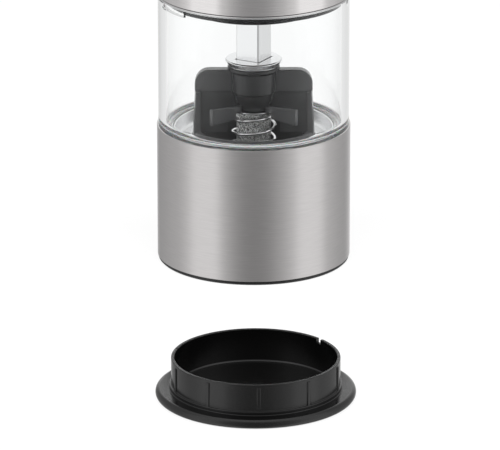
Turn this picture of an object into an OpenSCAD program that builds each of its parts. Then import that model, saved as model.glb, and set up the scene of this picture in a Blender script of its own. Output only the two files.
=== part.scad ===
// Electric spice grinder: brushed steel column with a clear spice chamber, a ceramic burr
// set in the base, a geared motor and cells in the top, and a push-on base cap that stands
// beside it, open side up. Millimetres, +Z up, origin on the table at the column's axis.

/* [Body] */
// Outer diameter of both steel sleeves
body_d = 60; // [58:0.5:64]
// Wall of both steel sleeves
sleeve_wall = 0.6; // [0.4:0.1:0.9]
// Height of the black lip that shows under the lower sleeve
lip_h = 1.2; // [0.8:0.1:2]
// Height of the lower sleeve's top edge above the table
lower_h = 43.3; // [42:0.1:48]
// Height of the clear chamber between the two sleeves
chamber_h = 41.5; // [38:0.5:60]
// Height of the black top cap above the upper sleeve
top_h = 4.8; // [4:0.1:7]

/* [Chamber] */
// Step in radius from the sleeves to the clear wall
chamber_step = 0.4; // [0.2:0.1:0.8]
// Wall of the clear chamber
chamber_wall = 2.4; // [2.2:0.1:2.8]
// Height of the neck that goes down into the lower sleeve
neck_h = 5.3; // [4:0.1:6]
// Height of the thick rounded foot inside the clear wall
foot_round = 3.2; // [2:0.1:4]

/* [Floor dish] */
// Width of the chamber's foot, outside of the dish
foot_w = 4.3; // [4:0.1:4.6]
// Depth of the dish below its rim
dish_depth = 4.4; // [4:0.1:5]
// Thickness of the dish's sheet
dish_t = 0.5; // [0.3:0.1:0.8]
// Distance from the dish's edge in to a floor screw's centre
screw_inset = 3.5; // [3.4:0.1:3.8]
// Diameter of a floor screw's head
screw_head_d = 3; // [2.6:0.1:3.2]

/* [Bridge] */
// Distance from the floor screws in to the bridge's ring wall
bridge_inset = 2.8; // [2.6:0.1:3.2]
// Wall of the bridge's ring
bridge_wall = 1.9; // [1.4:0.1:2.4]
// Width that the ring's foot spreads beyond its wall
bridge_foot = 0.9; // [0.5:0.1:1]
// Height of the ring wall above the dish's floor
bridge_ring_h = 3.1; // [2.5:0.1:4]
// Step from the ring wall in to the side edge of the web that crosses it
web_inset = 0.3; // [0.2:0.1:1]
// Thickness of the web below the step
web_t = 2.2; // [1.6:0.1:3]
// Depth of the step that thickens web and hub above it
web_step = 0.85; // [0.5:0.05:1]
// Radius of the web's two top corners
web_corner_r = 4.4; // [3:0.1:6]
// Height of the web's top edge above the lower sleeve
web_top = 17.7; // [16:0.1:20]
// Distance from the web's top edge down to the step
step_drop = 7; // [5:0.1:8]
// Diameter of the hub above the step
hub_d = 14.5; // [14:0.1:16]
// Diameter of the neck at the hub's lower end
hub_neck_d = 11.3; // [10.6:0.1:11.8]
// Height that the hub stands above the web
hub_rise = 1.1; // [0.6:0.1:1.6]
// Height of the hub's lower end above the lower sleeve
hub_bottom = 5.2; // [4:0.1:6]
// Thickness of each of the four small fins
fin_t = 1.2; // [0.8:0.1:1.6]

/* [Drive] */
// Side of the square drive bar
bar_side = 8.2; // [7.6:0.1:8.4]
// Width of the bar's edge chamfers
bar_chamfer = 0.5; // [0.3:0.1:0.8]
// Turn of the bar about its axis, as the photograph shows it
bar_turn = -29.5; // [-45:0.5:45]
// Diameter of the journal that runs in the hub
journal_d = 7; // [6:0.1:7.4]
// Diameter of the spindle below the hub
spindle_d = 5; // [4:0.1:5.2]
// Diameter of the polished collar on the hub
collar_d = 17.5; // [16.6:0.1:19]
// Height of the collar
collar_h = 2; // [1.6:0.1:2.6]

/* [Burr spring] */
// Outer diameter of the spring's coils
spring_d = 14.2; // [13.6:0.1:14.8]
// Diameter of the spring's wire
spring_wire = 0.95; // [0.8:0.05:1.1]
// Number of open coils above the one closed end coil
spring_coils = 3.5; // [3:0.5:4.5]
// Thickness of the washer above the spring
washer_t = 0.5; // [0.3:0.1:0.8]

/* [Burrs] */
// Distance from the floor screws in to the fixed burr
stator_inset = 1.9; // [1.9:0.1:2.4]
// Height of the fixed burr
stator_h = 13.5; // [12:0.1:14.5]
// Radial gap between the burrs' teeth at the outlet
burr_gap = 1; // [0.8:0.05:1.2]
// Depth of the fine teeth
tooth_depth = 0.55; // [0.4:0.05:0.7]
// Number of fine teeth on each burr
fine_teeth = 36; // [24:1:40]
// Number of coarse flutes on the turning burr
coarse_flutes = 8; // [6:1:10]
// Step in radius from the fixed burr's outside to the turning burr's lower edge
rotor_inset = 3.8; // [3.7:0.1:4.4]
// Diameter of the turning burr at its top
rotor_top_d = 17.4; // [16.4:0.1:18.4]
// Height of the turning burr
rotor_h = 16.5; // [15:0.1:17.5]
// Rise of the burr for a full turn of the knob
adjust_rise = 1; // [0.5:0.05:1.2]

/* [Adjuster knob] */
// Diameter of the grind knob in the base
knob_d = 26; // [22:0.5:30]
// Height of the grind knob's grip
knob_h = 6; // [5:0.1:7]
// Number of grip notches round the knob
knob_notches = 12; // [8:1:16]

/* [Base cap] */
// Step in radius from the sleeves in to the cap's flange
cap_step = 1; // [0.7:0.1:2]
// Thickness of the cap's flange
cap_flange_t = 2.8; // [2.2:0.1:3.4]
// Width of the ring that the base stands on, outside of the cap's rim
foot_ring_w = 4.4; // [4.2:0.1:4.9]
// Wall of the cap's rim
cap_wall = 1; // [0.8:0.1:1.4]
// Height of the rim above the flange
cap_rim_h = 9.1; // [7:0.1:9.4]
// Number of friction ribs on the rim
cap_ribs = 10; // [6:1:16]
// Depth that a friction rib stands out
cap_rib_out = 0.35; // [0.2:0.05:0.5]
// Distance from the column's axis to the cap where it stands
cap_stand_y = 127; // [90:1:200]
// Sideways place of the cap where it stands
cap_stand_x = 0.6; // [-20:0.2:20]

/* [Gears] */
// Tooth module of every gear
gear_m = 0.6; // [0.5:0.02:0.62]
// Teeth of each sun gear
sun_teeth = 12; // [12:6:12]
// Teeth of each planet gear
planet_teeth = 21; // [21:3:21]
// Width of each planet gear
gear_w = 6; // [5:0.1:6.5]
// Thickness of each planet carrier
carrier_t = 2.4; // [2:0.1:2.6]
// Gap left between meshing tooth faces
backlash = 0.12; // [0.08:0.01:0.16]

/* [Motor and cells] */
// Diameter of the motor's can
motor_d = 24.4; // [23:0.1:25.4]
// Length of the motor's can
motor_l = 30.8; // [30:0.1:31.6]
// Diameter of one cell
cell_d = 14.5; // [14:0.1:14.5]
// Length of one cell's body without its nub
cell_l = 49.3; // [48.5:0.1:50]
// Diameter of the circle that the cells lie on
cell_circle_d = 36; // [34:0.2:38]

/* [Power button] */
// Diameter of the button
button_d = 20; // [16:0.2:24]
// Height that the button stands above the top cap
button_rise = 2.4; // [2.1:0.1:3.4]
// Travel of the button
button_travel = 1.8; // [1:0.1:2]
// Height of the switch under the button
switch_h = 4.4; // [4.2:0.1:8]
// Side of the square switch
switch_side = 12; // [8:0.5:14]

/* [Clearances] */
// Gap between pieces that move past each other
run_gap = 0.3; // [0.25:0.05:0.4]
// Gap between nested pieces of one unit
seat_gap = 0.1; // [0.05:0.05:0.15]
// Radial play of a shaft in its bearing
bearing_play = 0.06; // [0.03:0.01:0.1]

/* [Hidden] */
$fn = 96;
fine = 48;
eps = 0.01;

// Radii of the column
body_r = body_d / 2;
sleeve_in_r = body_r - sleeve_wall;
core_r = sleeve_in_r - seat_gap;
lip_r = body_r - 0.3;
chamber_r = body_r - chamber_step;
chamber_in_r = chamber_r - chamber_wall;
mouth_r = chamber_in_r;

// Heights of the column
chamber_top = lower_h + chamber_h;
ring_t = 0.8;
upper_z = chamber_top + ring_t + 0.2;

// Lower housing
recess_h = max(10.5, cap_rim_h + 1);
ledge_t = 2;
dish_r = core_r - foot_w - 0.2;
screw_r = dish_r - screw_inset;
stator_r = screw_r - stator_inset;
ledge_r = stator_r - 1.2;
burr_z = recess_h + ledge_t;
burr_bore_r = stator_r + seat_gap;
burr_tube_t = 2;
shell_t = 2;
dish_z = lower_h - 0.2 - dish_depth;
flange_t = 1.5;
seal_gap = 0.4;
housing_top = dish_z - dish_t - flange_t;
cap_bore_r = core_r - foot_ring_w;
cap_rim_r = cap_bore_r - cap_rib_out - seat_gap;
screw_shank_r = 0.9;
screw_l = 8;
rib_count = 6;

// Bridge
bridge_r = screw_r - bridge_inset;
web_w = 2 * (bridge_r - web_inset);
bridge_in_r = bridge_r - bridge_wall;
ring_top = dish_z + bridge_ring_h;
web_z = lower_h + web_top;
step_z = web_z - step_drop;
hub_z = web_z + hub_rise;
hub_foot_z = lower_h + hub_bottom;
hub_low_r = hub_d / 2 - web_step;
neck_z = hub_foot_z + 2;
skirt_r = burr_bore_r - seat_gap;
stator_top = burr_z + stator_h;
hub_bore_r = journal_d / 2 + bearing_play;
fin_low_z = hub_foot_z - 2.1;
fin_in_z = fin_low_z + 3.5;
fin_out_z = fin_low_z + 5.2;
post_half_angle = 13;
spring_room_r = spring_d / 2 + 1.1;

// Turning burr and what turns it
rotor_z = burr_z + 1;
rotor_top = rotor_z + rotor_h;
rotor_r = stator_r - rotor_inset;
rotor_top_r = rotor_top_d / 2;
rotor_band_h = 4.5;
rotor_shoulder_r = rotor_top_r + 3;
shoulder_z = rotor_z + 9.5;
outlet_r = rotor_r + burr_gap;
throat_r = rotor_shoulder_r + 2.1;
entry_r = bridge_in_r;
square_play = 0.15;
sleeve_top = hub_foot_z - washer_t - run_gap;
sleeve_foot = rotor_z + 1.1 + adjust_rise;
spindle_foot = rotor_z - 11.2;
knob_top = rotor_z - run_gap;
knob_l = 10.4;
insert_r = spindle_d / 2 + 1.6;

// Spring: one tube whose lowest coil lies closer than the open ones
spring_r = (spring_d - spring_wire) / 2;
spring_top = hub_foot_z - washer_t - 0.25;
spring_foot = rotor_top + 0.25;
end_pitch = spring_wire + 0.55;
open_run = spring_top - spring_foot - spring_wire - end_pitch;
spring_turns = spring_coils + 1;
spring_end_angle = 15;
spring_rings = 8;
wire_sides = 6;

// Motor base and gear train
boss_r = 19.3;
boss_z = chamber_top - 4.4;
plate_z = chamber_top - 1.9;
plate_r = mouth_r - run_gap;
lug_out = 1.4;
lug_h = 1;
lug_angle = 9;
lock_turn = 30;
groove_r = plate_r + lug_out + run_gap;
base_top = upper_z + 2.2;
ring_teeth = sun_teeth + 2 * planet_teeth;
sun_pitch_r = gear_m * sun_teeth / 2;
planet_pitch_r = gear_m * planet_teeth / 2;
ring_pitch_r = gear_m * ring_teeth / 2;
planet_circle_r = sun_pitch_r + planet_pitch_r;
ring_gear_r = ring_pitch_r + 2.4;
carrier_r = planet_circle_r + 3.4;
planet_pin_r = 1.5;
carrier_2_z = base_top + run_gap;
planets_2_z = carrier_2_z + carrier_t + run_gap;
carrier_1_z = planets_2_z + gear_w + 2 * run_gap;
planets_1_z = carrier_1_z + carrier_t + run_gap;
gearbox_top = planets_1_z + gear_w + 0.8;
cover_t = 2;
long_screw_r = 1.2;
gear_screw_r = ring_gear_r + long_screw_r + 2.4;
screw_boss_r = 2 * long_screw_r;
motor_z = gearbox_top + cover_t;
motor_top = motor_z + motor_l;
end_cap_h = 2;
motor_shaft_r = 1;
nose_r = 3;
terminal_x = 9;
socket_r = 8;
socket_z = boss_z + 0.8;
socket_depth = 6;
bar_top = socket_z + socket_depth - run_gap;
bush_r = socket_r + 1.8;

// Core above the motor
core_tube_r = motor_d / 2 + seat_gap;
core_wall = 1.6;
holder_z = motor_top + end_cap_h + 5;
deck_t = 2.2;
cell_gap = 0.9;
contact_h = 1.4;
pocket = 0.3;
cell_z = holder_z + deck_t + contact_h;
nub_h = 1.2;
cell_top = cell_z + cell_l + nub_h;
holder_top = cell_top + contact_h + deck_t;
holder_r = core_r - 0.5;
cell_r = cell_d / 2;
cell_circle_r = cell_circle_d / 2;
column_r = cell_circle_r + 1.5;
lead_bore_r = 2.6;
seat_z = holder_z + deck_t - pocket;
seat_top = holder_top - deck_t + pocket;
contact_l = contact_h + pocket - 0.1;

// Top of the upper sleeve, above the cells and the switch
switch_z = holder_top;
guide_z = holder_top + switch_h + 0.8;
guide_t = 1.2;
upper_top = guide_z + 2 * guide_t;
top_z = upper_top + top_h;

// Top cap and button
button_r = button_d / 2;
button_flange = 1.3;
button_flange_z = upper_top + 0.9;
button_flange_t = 1.2;
cap_roof_z = button_flange_z + button_flange_t + run_gap;
button_top = top_z + button_rise;
stem_r = 2.6;
button_web_z = top_z - 1.2;
button_spring_r = 4.2;
button_wire = 0.5;
button_coils = 4;
guide_screw_r = button_r + button_flange + 3.4;
wire_r = 0.6;
stem_foot = guide_z - 0.3;
plunger_top = stem_foot - 0.25;

// A ring between two heights
module tube(z0, z1, outer, inner) {
    translate([0, 0, z0])
        difference() {
            cylinder(r = outer, h = z1 - z0);
            translate([0, 0, -1]) cylinder(r = inner, h = z1 - z0 + 2);
        }
}

// A disc between two heights
module disc(z0, z1, outer) {
    translate([0, 0, z0]) cylinder(r = outer, h = z1 - z0);
}

// A turned shape from an outline of [radius, height] points
module turned(points) {
    rotate_extrude() polygon(points);
}

// The bar's square section with chamfered edges
module bar_section(side, chamfer) {
    half = side / 2;
    near = half - chamfer;
    polygon([[half, -near], [half, near], [near, half], [-near, half],
        [-half, near], [-half, -near], [-near, -half], [near, -half]]);
}

// A wedge of angle from -half to +half, for cutting sectors out of rings
module sector(half, reach, z0, z1) {
    translate([0, 0, z0])
        linear_extrude(z1 - z0)
            polygon([[0, 0], [reach, -reach * tan(half)], [reach, reach * tan(half)]]);
}

// ---- Lower unit ----

// Black moulding that carries the burrs, with the recess that the base cap pushes into
module lower_housing() {
    inner_r = burr_bore_r + burr_tube_t;
    outer_in_r = core_r - shell_t;
    color("#1c1c1d")
        difference() {
            union() {
                turned([[cap_bore_r, 0], [lip_r - 0.4, 0], [lip_r, 0.4], [lip_r, lip_h],
                    [core_r, lip_h], [core_r, housing_top], [outer_in_r, housing_top],
                    [outer_in_r, burr_z], [inner_r, burr_z], [inner_r, housing_top],
                    [burr_bore_r, housing_top], [burr_bore_r, burr_z], [ledge_r, burr_z],
                    [ledge_r, recess_h], [cap_bore_r, recess_h]]);
                for (i = [0 : rib_count - 1])
                    rotate([0, 0, (i + 0.5) * 360 / rib_count])
                        translate([inner_r - 0.5, -0.8, burr_z - eps])
                            cube([outer_in_r - inner_r + 1, 1.6, housing_top - burr_z]);
                for (side = [0, 180])
                    rotate([0, 0, side])
                        translate([screw_r, 0, burr_z - eps])
                            cylinder(r = 2.6, h = housing_top - burr_z + eps, $fn = fine);
            }
            for (side = [0, 180])
                rotate([0, 0, side])
                    translate([screw_r, 0, housing_top - screw_l])
                        cylinder(r = screw_shank_r + seat_gap, h = screw_l + 1, $fn = fine);
            disc(burr_z, housing_top + 1, burr_bore_r);
        }
}

// Brushed steel sleeve round the base, with a small chamfer at each edge
module lower_sleeve() {
    color("#a5a1a0")
        turned([[sleeve_in_r, lip_h], [body_r - 0.15, lip_h], [body_r, lip_h + 0.15],
            [body_r, lower_h - 0.15], [body_r - 0.15, lower_h], [sleeve_in_r, lower_h]]);
}

// Soft ring that the clear chamber's neck presses on
module chamber_seal() {
    color("#3a3a3a")
        tube(housing_top, lower_h - neck_h, core_r - 0.3, dish_r + seal_gap);
}

// Clear chamber: thick rounded foot, neck into the sleeve, bayonet groove in its mouth
module chamber() {
    foot_r = core_r - foot_w;
    round_r = chamber_in_r - foot_r;
    groove_z = plate_z - run_gap;
    groove_top = plate_z + lug_h + run_gap;
    color("#eef2f4", 0.35)
        difference() {
            rotate_extrude()
                difference() {
                    polygon([[foot_r, lower_h - neck_h], [core_r, lower_h - neck_h],
                        [core_r, lower_h], [chamber_r, lower_h], [chamber_r, chamber_top],
                        [mouth_r, chamber_top], [chamber_in_r, lower_h + foot_round],
                        [foot_r, lower_h + foot_round]]);
                    translate([foot_r, lower_h + foot_round])
                        scale([round_r, foot_round])
                            circle(r = 1);
                }
            for (side = [0, 180])
                rotate([0, 0, side]) {
                    bayonet_track(groove_z, groove_top, groove_r, -lug_angle - 3,
                        lock_turn + lug_angle + 4);
                    bayonet_track((groove_z + groove_top) / 2, chamber_top + 1, groove_r + 0.05,
                        lock_turn - lug_angle - 3, lock_turn + lug_angle + 3);
                }
        }
}

// Part of a ring groove between two angles
module bayonet_track(z0, z1, r, from, to) {
    rotate([0, 0, (from + to) / 2])
        intersection() {
            tube(z0, z1, r, mouth_r - 1);
            sector((to - from) / 2, body_r + 5, z0 - 1, z1 + 1);
        }
}

// A row of straight V grooves laid along a cone, tilt from the axis and skew round it
module grooves(count, r, z, tilt, skew, width, depth, run, phase) {
    for (i = [0 : count - 1])
        rotate([0, 0, (i + phase) * 360 / count])
            translate([r, 0, z])
                rotate([0, tilt, 0])
                    rotate([skew, 0, 0])
                        translate([0, 0, -run / 2])
                            linear_extrude(run)
                                polygon([[-depth, 0], [depth, -width], [depth, width]]);
}

// Fixed ceramic burr: a throat that narrows, then toothed and opening to the outlet
module fixed_burr() {
    throat_z = shoulder_z + 0.4;
    low_slope = atan((outlet_r - throat_r) / (throat_z - burr_z));
    mid_z = burr_z + rotor_band_h / 2;
    mid_r = outlet_r - (mid_z - burr_z) * tan(low_slope);
    color("#5d5b58")
        difference() {
            turned([[outlet_r, burr_z], [stator_r - 0.4, burr_z],
                [stator_r, burr_z + 0.4], [stator_r, stator_top],
                [entry_r + 0.3, stator_top], [throat_r, throat_z]]);
            for (i = [0 : fine_teeth - 1])
                rotate([0, 0, (i + 0.5) * 360 / fine_teeth])
                    translate([mid_r, 0, mid_z])
                        rotate([0, -low_slope, 0])
                            translate([0, 0, -rotor_band_h])
                                linear_extrude(2 * rotor_band_h)
                                    polygon([[tooth_depth, 0], [-tooth_depth, -1.3 * tooth_depth],
                                        [-tooth_depth, 1.3 * tooth_depth]]);
        }
}

// Polished dish that the spices lie in, with a raised rim
module floor_dish() {
    hole_r = bridge_r + bridge_foot + 0.15;
    flat_r = screw_r + screw_head_d / 2 + 0.3;
    side_r = dish_r - flat_r;
    color("#c9c9cb")
        difference() {
            rotate_extrude()
                difference() {
                    translate([hole_r, dish_z - dish_t])
                        square([dish_r - hole_r, dish_depth + dish_t]);
                    translate([hole_r - 1, dish_z])
                        square([flat_r - hole_r + 1, dish_depth + 1]);
                    translate([flat_r, dish_z + dish_depth])
                        scale([side_r - dish_t, dish_depth])
                            circle(r = 1);
                }
            for (side = [0, 180])
                rotate([0, 0, side])
                    translate([screw_r, 0, dish_z - dish_t - 1])
                        cylinder(r = screw_shank_r + seat_gap, h = dish_t + 2, $fn = fine);
        }
}

// Two low-headed screws that hold dish and bridge down
module floor_screws() {
    color("#8f8f90")
        for (side = [0, 180])
            rotate([0, 0, side])
                translate([screw_r, 0, 0])
                    difference() {
                        union() {
                            disc(dish_z, dish_z + 0.7, screw_head_d / 2);
                            disc(dish_z - dish_t - flange_t - screw_l + 1.5, dish_z, screw_shank_r);
                        }
                        translate([-0.25, -screw_head_d, dish_z + 0.4])
                            cube([0.5, 2 * screw_head_d, 1]);
                    }
}

// Outline of the web: two rounded top corners, straight sides
module web_outline(low) {
    half = web_w / 2;
    hull() {
        for (side = [-1, 1])
            translate([side * (half - web_corner_r), web_z - web_corner_r])
                circle(r = web_corner_r);
        translate([-half, low]) square([web_w, 1]);
    }
}

// One 45-degree fin beside the web, higher at its outer end
module fin() {
    translate([0, fin_t / 2, 0])
        rotate([90, 0, 0])
            linear_extrude(fin_t)
                polygon([[hub_bore_r + 0.6, fin_low_z + 0.6], [hub_neck_d / 2 + 1, fin_low_z],
                    [bridge_r, fin_low_z], [bridge_r, fin_out_z], [hub_bore_r + 0.6, fin_in_z]]);
}

// Black bridge: ring wall and skirt over the burrs, web, hub, side posts and fins
module bridge() {
    foot_r = bridge_r + bridge_foot;
    color("#242425")
        difference() {
            union() {
                // Ring wall with its spread foot, hidden flange and skirt down to the burr
                turned([[bridge_in_r, ring_top], [bridge_r - 0.3, ring_top],
                    [bridge_r, ring_top - 0.3], [bridge_r, dish_z + 2.2],
                    [foot_r, dish_z + 0.8], [foot_r, dish_z - dish_t],
                    [dish_r - 0.8, dish_z - dish_t], [dish_r - 0.8, housing_top],
                    [skirt_r, housing_top], [skirt_r, stator_top], [entry_r, stator_top],
                    [bridge_in_r, housing_top]]);
                // Web, thin below the step and thick above it
                intersection() {
                    translate([0, web_t / 2, 0])
                        rotate([90, 0, 0])
                            linear_extrude(web_t)
                                difference() {
                                    web_outline(ring_top - 1);
                                    translate([-spring_room_r, ring_top - 2])
                                        square([2 * spring_room_r, hub_foot_z - ring_top + 2]);
                                }
                    disc(0, top_z, web_w / 2);
                }
                translate([0, web_t / 2 + web_step, 0])
                    rotate([90, 0, 0])
                        linear_extrude(web_t + 2 * web_step)
                            web_outline(step_z);
                // Side posts that follow the ring
                for (side = [0, 180])
                    rotate([0, 0, side])
                        intersection() {
                            tube(ring_top - 1, step_z, web_w / 2, web_w / 2 - 1.5);
                            sector(post_half_angle, body_r, ring_top - 1, step_z);
                        }
                // Hub, stepped with the web and drawn in at its foot
                turned([[0, hub_foot_z], [hub_neck_d / 2, hub_foot_z], [hub_neck_d / 2, neck_z],
                    [hub_low_r, neck_z + 1.2], [hub_low_r, step_z], [hub_d / 2, step_z],
                    [hub_d / 2, web_z - 0.6], [collar_d / 2 - 0.65, web_z + 0.2],
                    [collar_d / 2 - 0.65, hub_z], [0, hub_z]]);
                for (angle = [45, 135, 225, 315])
                    rotate([0, 0, angle]) fin();
            }
            disc(hub_foot_z - 3, hub_z + 1, hub_bore_r);
            disc(ring_top, hub_foot_z, spring_room_r);
            for (side = [0, 180])
                rotate([0, 0, side])
                    translate([screw_r, 0, housing_top - 1])
                        cylinder(r = screw_shank_r + seat_gap, h = flange_t + 2, $fn = fine);
        }
}

// Thin washer between the hub and the spring
module spring_washer() {
    color("#b9b9bb")
        tube(hub_foot_z - washer_t, hub_foot_z, spring_d / 2, hub_bore_r + 0.1);
}

// ---- Turning parts of the lower unit ----

// Square bar, turned down to a journal in the hub and a spindle below it
module drive_shaft() {
    color("#d6d6d8") {
        rotate([0, 0, bar_turn])
            translate([0, 0, hub_z + run_gap])
                linear_extrude(bar_top - hub_z - run_gap)
                    bar_section(bar_side, bar_chamfer);
        disc(hub_foot_z - washer_t - 0.1, hub_z + run_gap + eps, journal_d / 2);
        disc(spindle_foot, hub_foot_z - washer_t, spindle_d / 2);
    }
}

// Sintered square sleeve that turns the burr and lets it slide
module burr_driver() {
    color("#7d7d7e")
        rotate([0, 0, bar_turn])
            translate([0, 0, sleeve_foot])
                difference() {
                    linear_extrude(sleeve_top - sleeve_foot)
                        bar_section(bar_side, bar_chamfer);
                    translate([0, 0, -1])
                        cylinder(r = spindle_d / 2 + 0.02, h = sleeve_top - sleeve_foot + 2, $fn = fine);
                }
}

// Polished collar on the hub, with a square hole for the bar
module hub_collar() {
    z = hub_z + run_gap;
    r = collar_d / 2;
    color("#dcdcde")
        difference() {
            turned([[0, z], [r - 0.65, z], [r - 0.65, z + 0.4], [r, z + collar_h - 0.5],
                [r, z + collar_h - 0.25], [r - 0.3, z + collar_h], [0, z + collar_h]]);
            rotate([0, 0, bar_turn])
                translate([0, 0, z - 1])
                    linear_extrude(collar_h + 2)
                        square(bar_side + 0.5, center = true);
        }
}

// One unbroken tube of wire up a right-handed coil, from each ring's height
module wound_wire(r, wire, end_angle, heights) {
    last = len(heights) - 1;
    points = [for (k = [0 : last]) for (s = [0 : wire_sides - 1])
        let (a = end_angle + 360 * (k - last) / spring_rings, b = 360 * s / wire_sides,
            out = r + wire / 2 * cos(b))
        [out * cos(a), out * sin(a), heights[k] + wire / 2 * sin(b)]];
    walls = [for (k = [0 : last - 1]) for (s = [0 : wire_sides - 1]) for (half = [0, 1])
        let (a = k * wire_sides + s, b = k * wire_sides + (s + 1) % wire_sides,
            c = a + wire_sides, d = b + wire_sides)
        half == 0 ? [a, b, d] : [a, d, c]];
    start = [for (s = [1 : wire_sides - 2]) [0, s + 1, s]];
    end = [for (s = [1 : wire_sides - 2])
        [last * wire_sides, last * wire_sides + s, last * wire_sides + s + 1]];
    gaps = [for (k = [0 : last - spring_rings])
        heights[k + spring_rings] - heights[k] - wire];
    echo(least_gap_between_coils = min(gaps));
    polyhedron(points, concat(walls, start, end));
}

// Compression spring of the burr, closed at its foot and open up to the washer
module burr_spring() {
    low = spring_foot + spring_wire / 2;
    heights = [for (k = [0 : spring_turns * spring_rings])
        let (turn = k / spring_rings)
        low + end_pitch * min(turn, 1) + open_run * max(turn - 1, 0) / spring_coils];
    color("#cfcfd2") wound_wire(spring_r, spring_wire, spring_end_angle, heights);
}

// Turning ceramic burr: coarse skewed flutes above, fine teeth at its wide edge
module turning_burr() {
    low_slope = atan((rotor_r - rotor_shoulder_r) / (shoulder_z - rotor_z));
    top_slope = atan((rotor_shoulder_r - rotor_top_r) / (rotor_top - shoulder_z));
    mid_z = rotor_z + rotor_band_h / 2;
    mid_r = rotor_r - (mid_z - rotor_z) * tan(low_slope);
    color("#54524f")
        difference() {
            turned([[0, rotor_z], [rotor_r - 0.3, rotor_z], [rotor_r, rotor_z + 0.3],
                [rotor_shoulder_r, shoulder_z], [rotor_top_r, rotor_top - 0.4],
                [rotor_top_r - 0.4, rotor_top], [0, rotor_top]]);
            grooves(fine_teeth, mid_r, mid_z, -low_slope, 0, 1.3 * tooth_depth, tooth_depth,
                1.6 * rotor_band_h, 0);
            grooves(coarse_flutes, rotor_shoulder_r, shoulder_z + 0.8, -top_slope - 12, 24,
                3, 1.6, 11, 0.5);
            rotate([0, 0, bar_turn])
                translate([0, 0, rotor_z - 1])
                    linear_extrude(rotor_h + 2)
                        square(bar_side + 2 * square_play, center = true);
        }
}

// Grind knob under the burr, with notches to grip it by
module grind_knob() {
    low = knob_top - knob_l;
    grip_top = low + knob_h;
    color("#1c1c1d")
        difference() {
            turned([[0, low], [knob_d / 2 - 0.8, low], [knob_d / 2, low + 0.8],
                [knob_d / 2, grip_top - 0.6], [knob_d / 2 - 0.6, grip_top],
                [7.5, grip_top], [6, grip_top + 1.5], [6, knob_top], [0, knob_top]]);
            for (i = [0 : knob_notches - 1])
                rotate([0, 0, i * 360 / knob_notches])
                    translate([knob_d / 2 + 1, 0, low - 1])
                        cylinder(r = 2.2, h = knob_h + 2, $fn = 24);
            disc(low - 1, knob_top + 1, insert_r);
        }
}

// Brass insert of the knob that runs on the spindle's end
module knob_insert() {
    color("#b08d4a")
        tube(knob_top - knob_l, knob_top, insert_r - 0.02, spindle_d / 2 + bearing_play);
}

// ---- Gear train ----

// Outline of a spur gear: tooth flanks from the involute, thinned for backlash
function involute_x(base, t) = base * (cos(t) + t * PI / 180 * sin(t));
function involute_y(base, t) = base * (sin(t) - t * PI / 180 * cos(t));
function flank(base, r) =
    let (t = sqrt(pow(max(r / base, 1), 2) - 1) * 180 / PI)
    atan2(involute_y(base, t), involute_x(base, t));
function tooth_side(pitch_r, base, r, half) = half - (flank(base, r) - flank(base, pitch_r));
function gear_points(teeth, tip_r, root_r, thin) =
    let (pitch_r = gear_m * teeth / 2, base = pitch_r * cos(25),
        half = 90 / teeth - thin / 2 / pitch_r * 180 / PI,
        radii = [root_r, max(root_r + 0.1, base), pitch_r, tip_r])
    [for (i = [0 : teeth - 1]) each concat(
        [for (k = [0 : 3]) let (r = radii[k],
            a = i * 360 / teeth - tooth_side(pitch_r, base, r, half)) [r * cos(a), r * sin(a)]],
        [for (k = [3 : -1 : 0]) let (r = radii[k],
            a = i * 360 / teeth + tooth_side(pitch_r, base, r, half)) [r * cos(a), r * sin(a)]])];

// Section of an outer gear
module gear_section(teeth) {
    pitch_r = gear_m * teeth / 2;
    polygon(gear_points(teeth, pitch_r + 0.85 * gear_m, pitch_r - 1.15 * gear_m, backlash));
}

// One planet gear at its place on the carrier
module planet(index, z) {
    rotate([0, 0, index * 120])
        translate([planet_circle_r, 0, z])
            rotate([0, 0, -index * 120])
                color("#e6e2d6")
                    difference() {
                        linear_extrude(gear_w) gear_section(planet_teeth);
                        translate([0, 0, -1])
                            cylinder(r = planet_pin_r + bearing_play, h = gear_w + 2, $fn = fine);
                    }
}

// Three pins that carry planets
module planet_pins(z0, z1) {
    for (i = [0 : 2])
        rotate([0, 0, i * 120])
            translate([planet_circle_r, 0, 0])
                translate([0, 0, z0]) cylinder(r = planet_pin_r, h = z1 - z0, $fn = fine);
}

// Output carrier with the square socket for the bar
module output_carrier() {
    color("#8d8f92")
        difference() {
            union() {
                disc(socket_z, carrier_2_z + eps, socket_r);
                disc(carrier_2_z, carrier_2_z + carrier_t, carrier_r);
                planet_pins(carrier_2_z, planets_2_z + gear_w + run_gap / 2);
            }
            rotate([0, 0, bar_turn])
                translate([0, 0, socket_z - 1])
                    linear_extrude(socket_depth + 1)
                        square(bar_side + 0.2, center = true);
        }
}

// First carrier, which carries the second stage's sun gear below it
module first_carrier() {
    color("#e6e2d6")
        union() {
            disc(carrier_1_z, carrier_1_z + carrier_t, carrier_r);
            planet_pins(carrier_1_z, planets_1_z + gear_w + run_gap / 2);
            translate([0, 0, planets_2_z])
                linear_extrude(carrier_1_z - planets_2_z + eps) gear_section(sun_teeth);
        }
}

module planet_2a() { planet(0, planets_2_z); }
module planet_2b() { planet(1, planets_2_z); }
module planet_2c() { planet(2, planets_2_z); }
module planet_1a() { planet(0, planets_1_z); }
module planet_1b() { planet(1, planets_1_z); }
module planet_1c() { planet(2, planets_1_z); }

// Brass pinion on the motor's shaft
module motor_pinion() {
    color("#b08d4a")
        translate([0, 0, planets_1_z])
            difference() {
                linear_extrude(gear_w + 0.3) gear_section(sun_teeth);
                translate([0, 0, -1])
                    cylinder(r = motor_shaft_r + 0.02, h = gear_w + 3, $fn = fine);
            }
}

// Shaft of the motor, out at both ends of the can
module motor_shaft() {
    color("#d6d6d8")
        disc(planets_1_z + 0.2, motor_top + end_cap_h + 1.6, motor_shaft_r);
}

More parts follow.
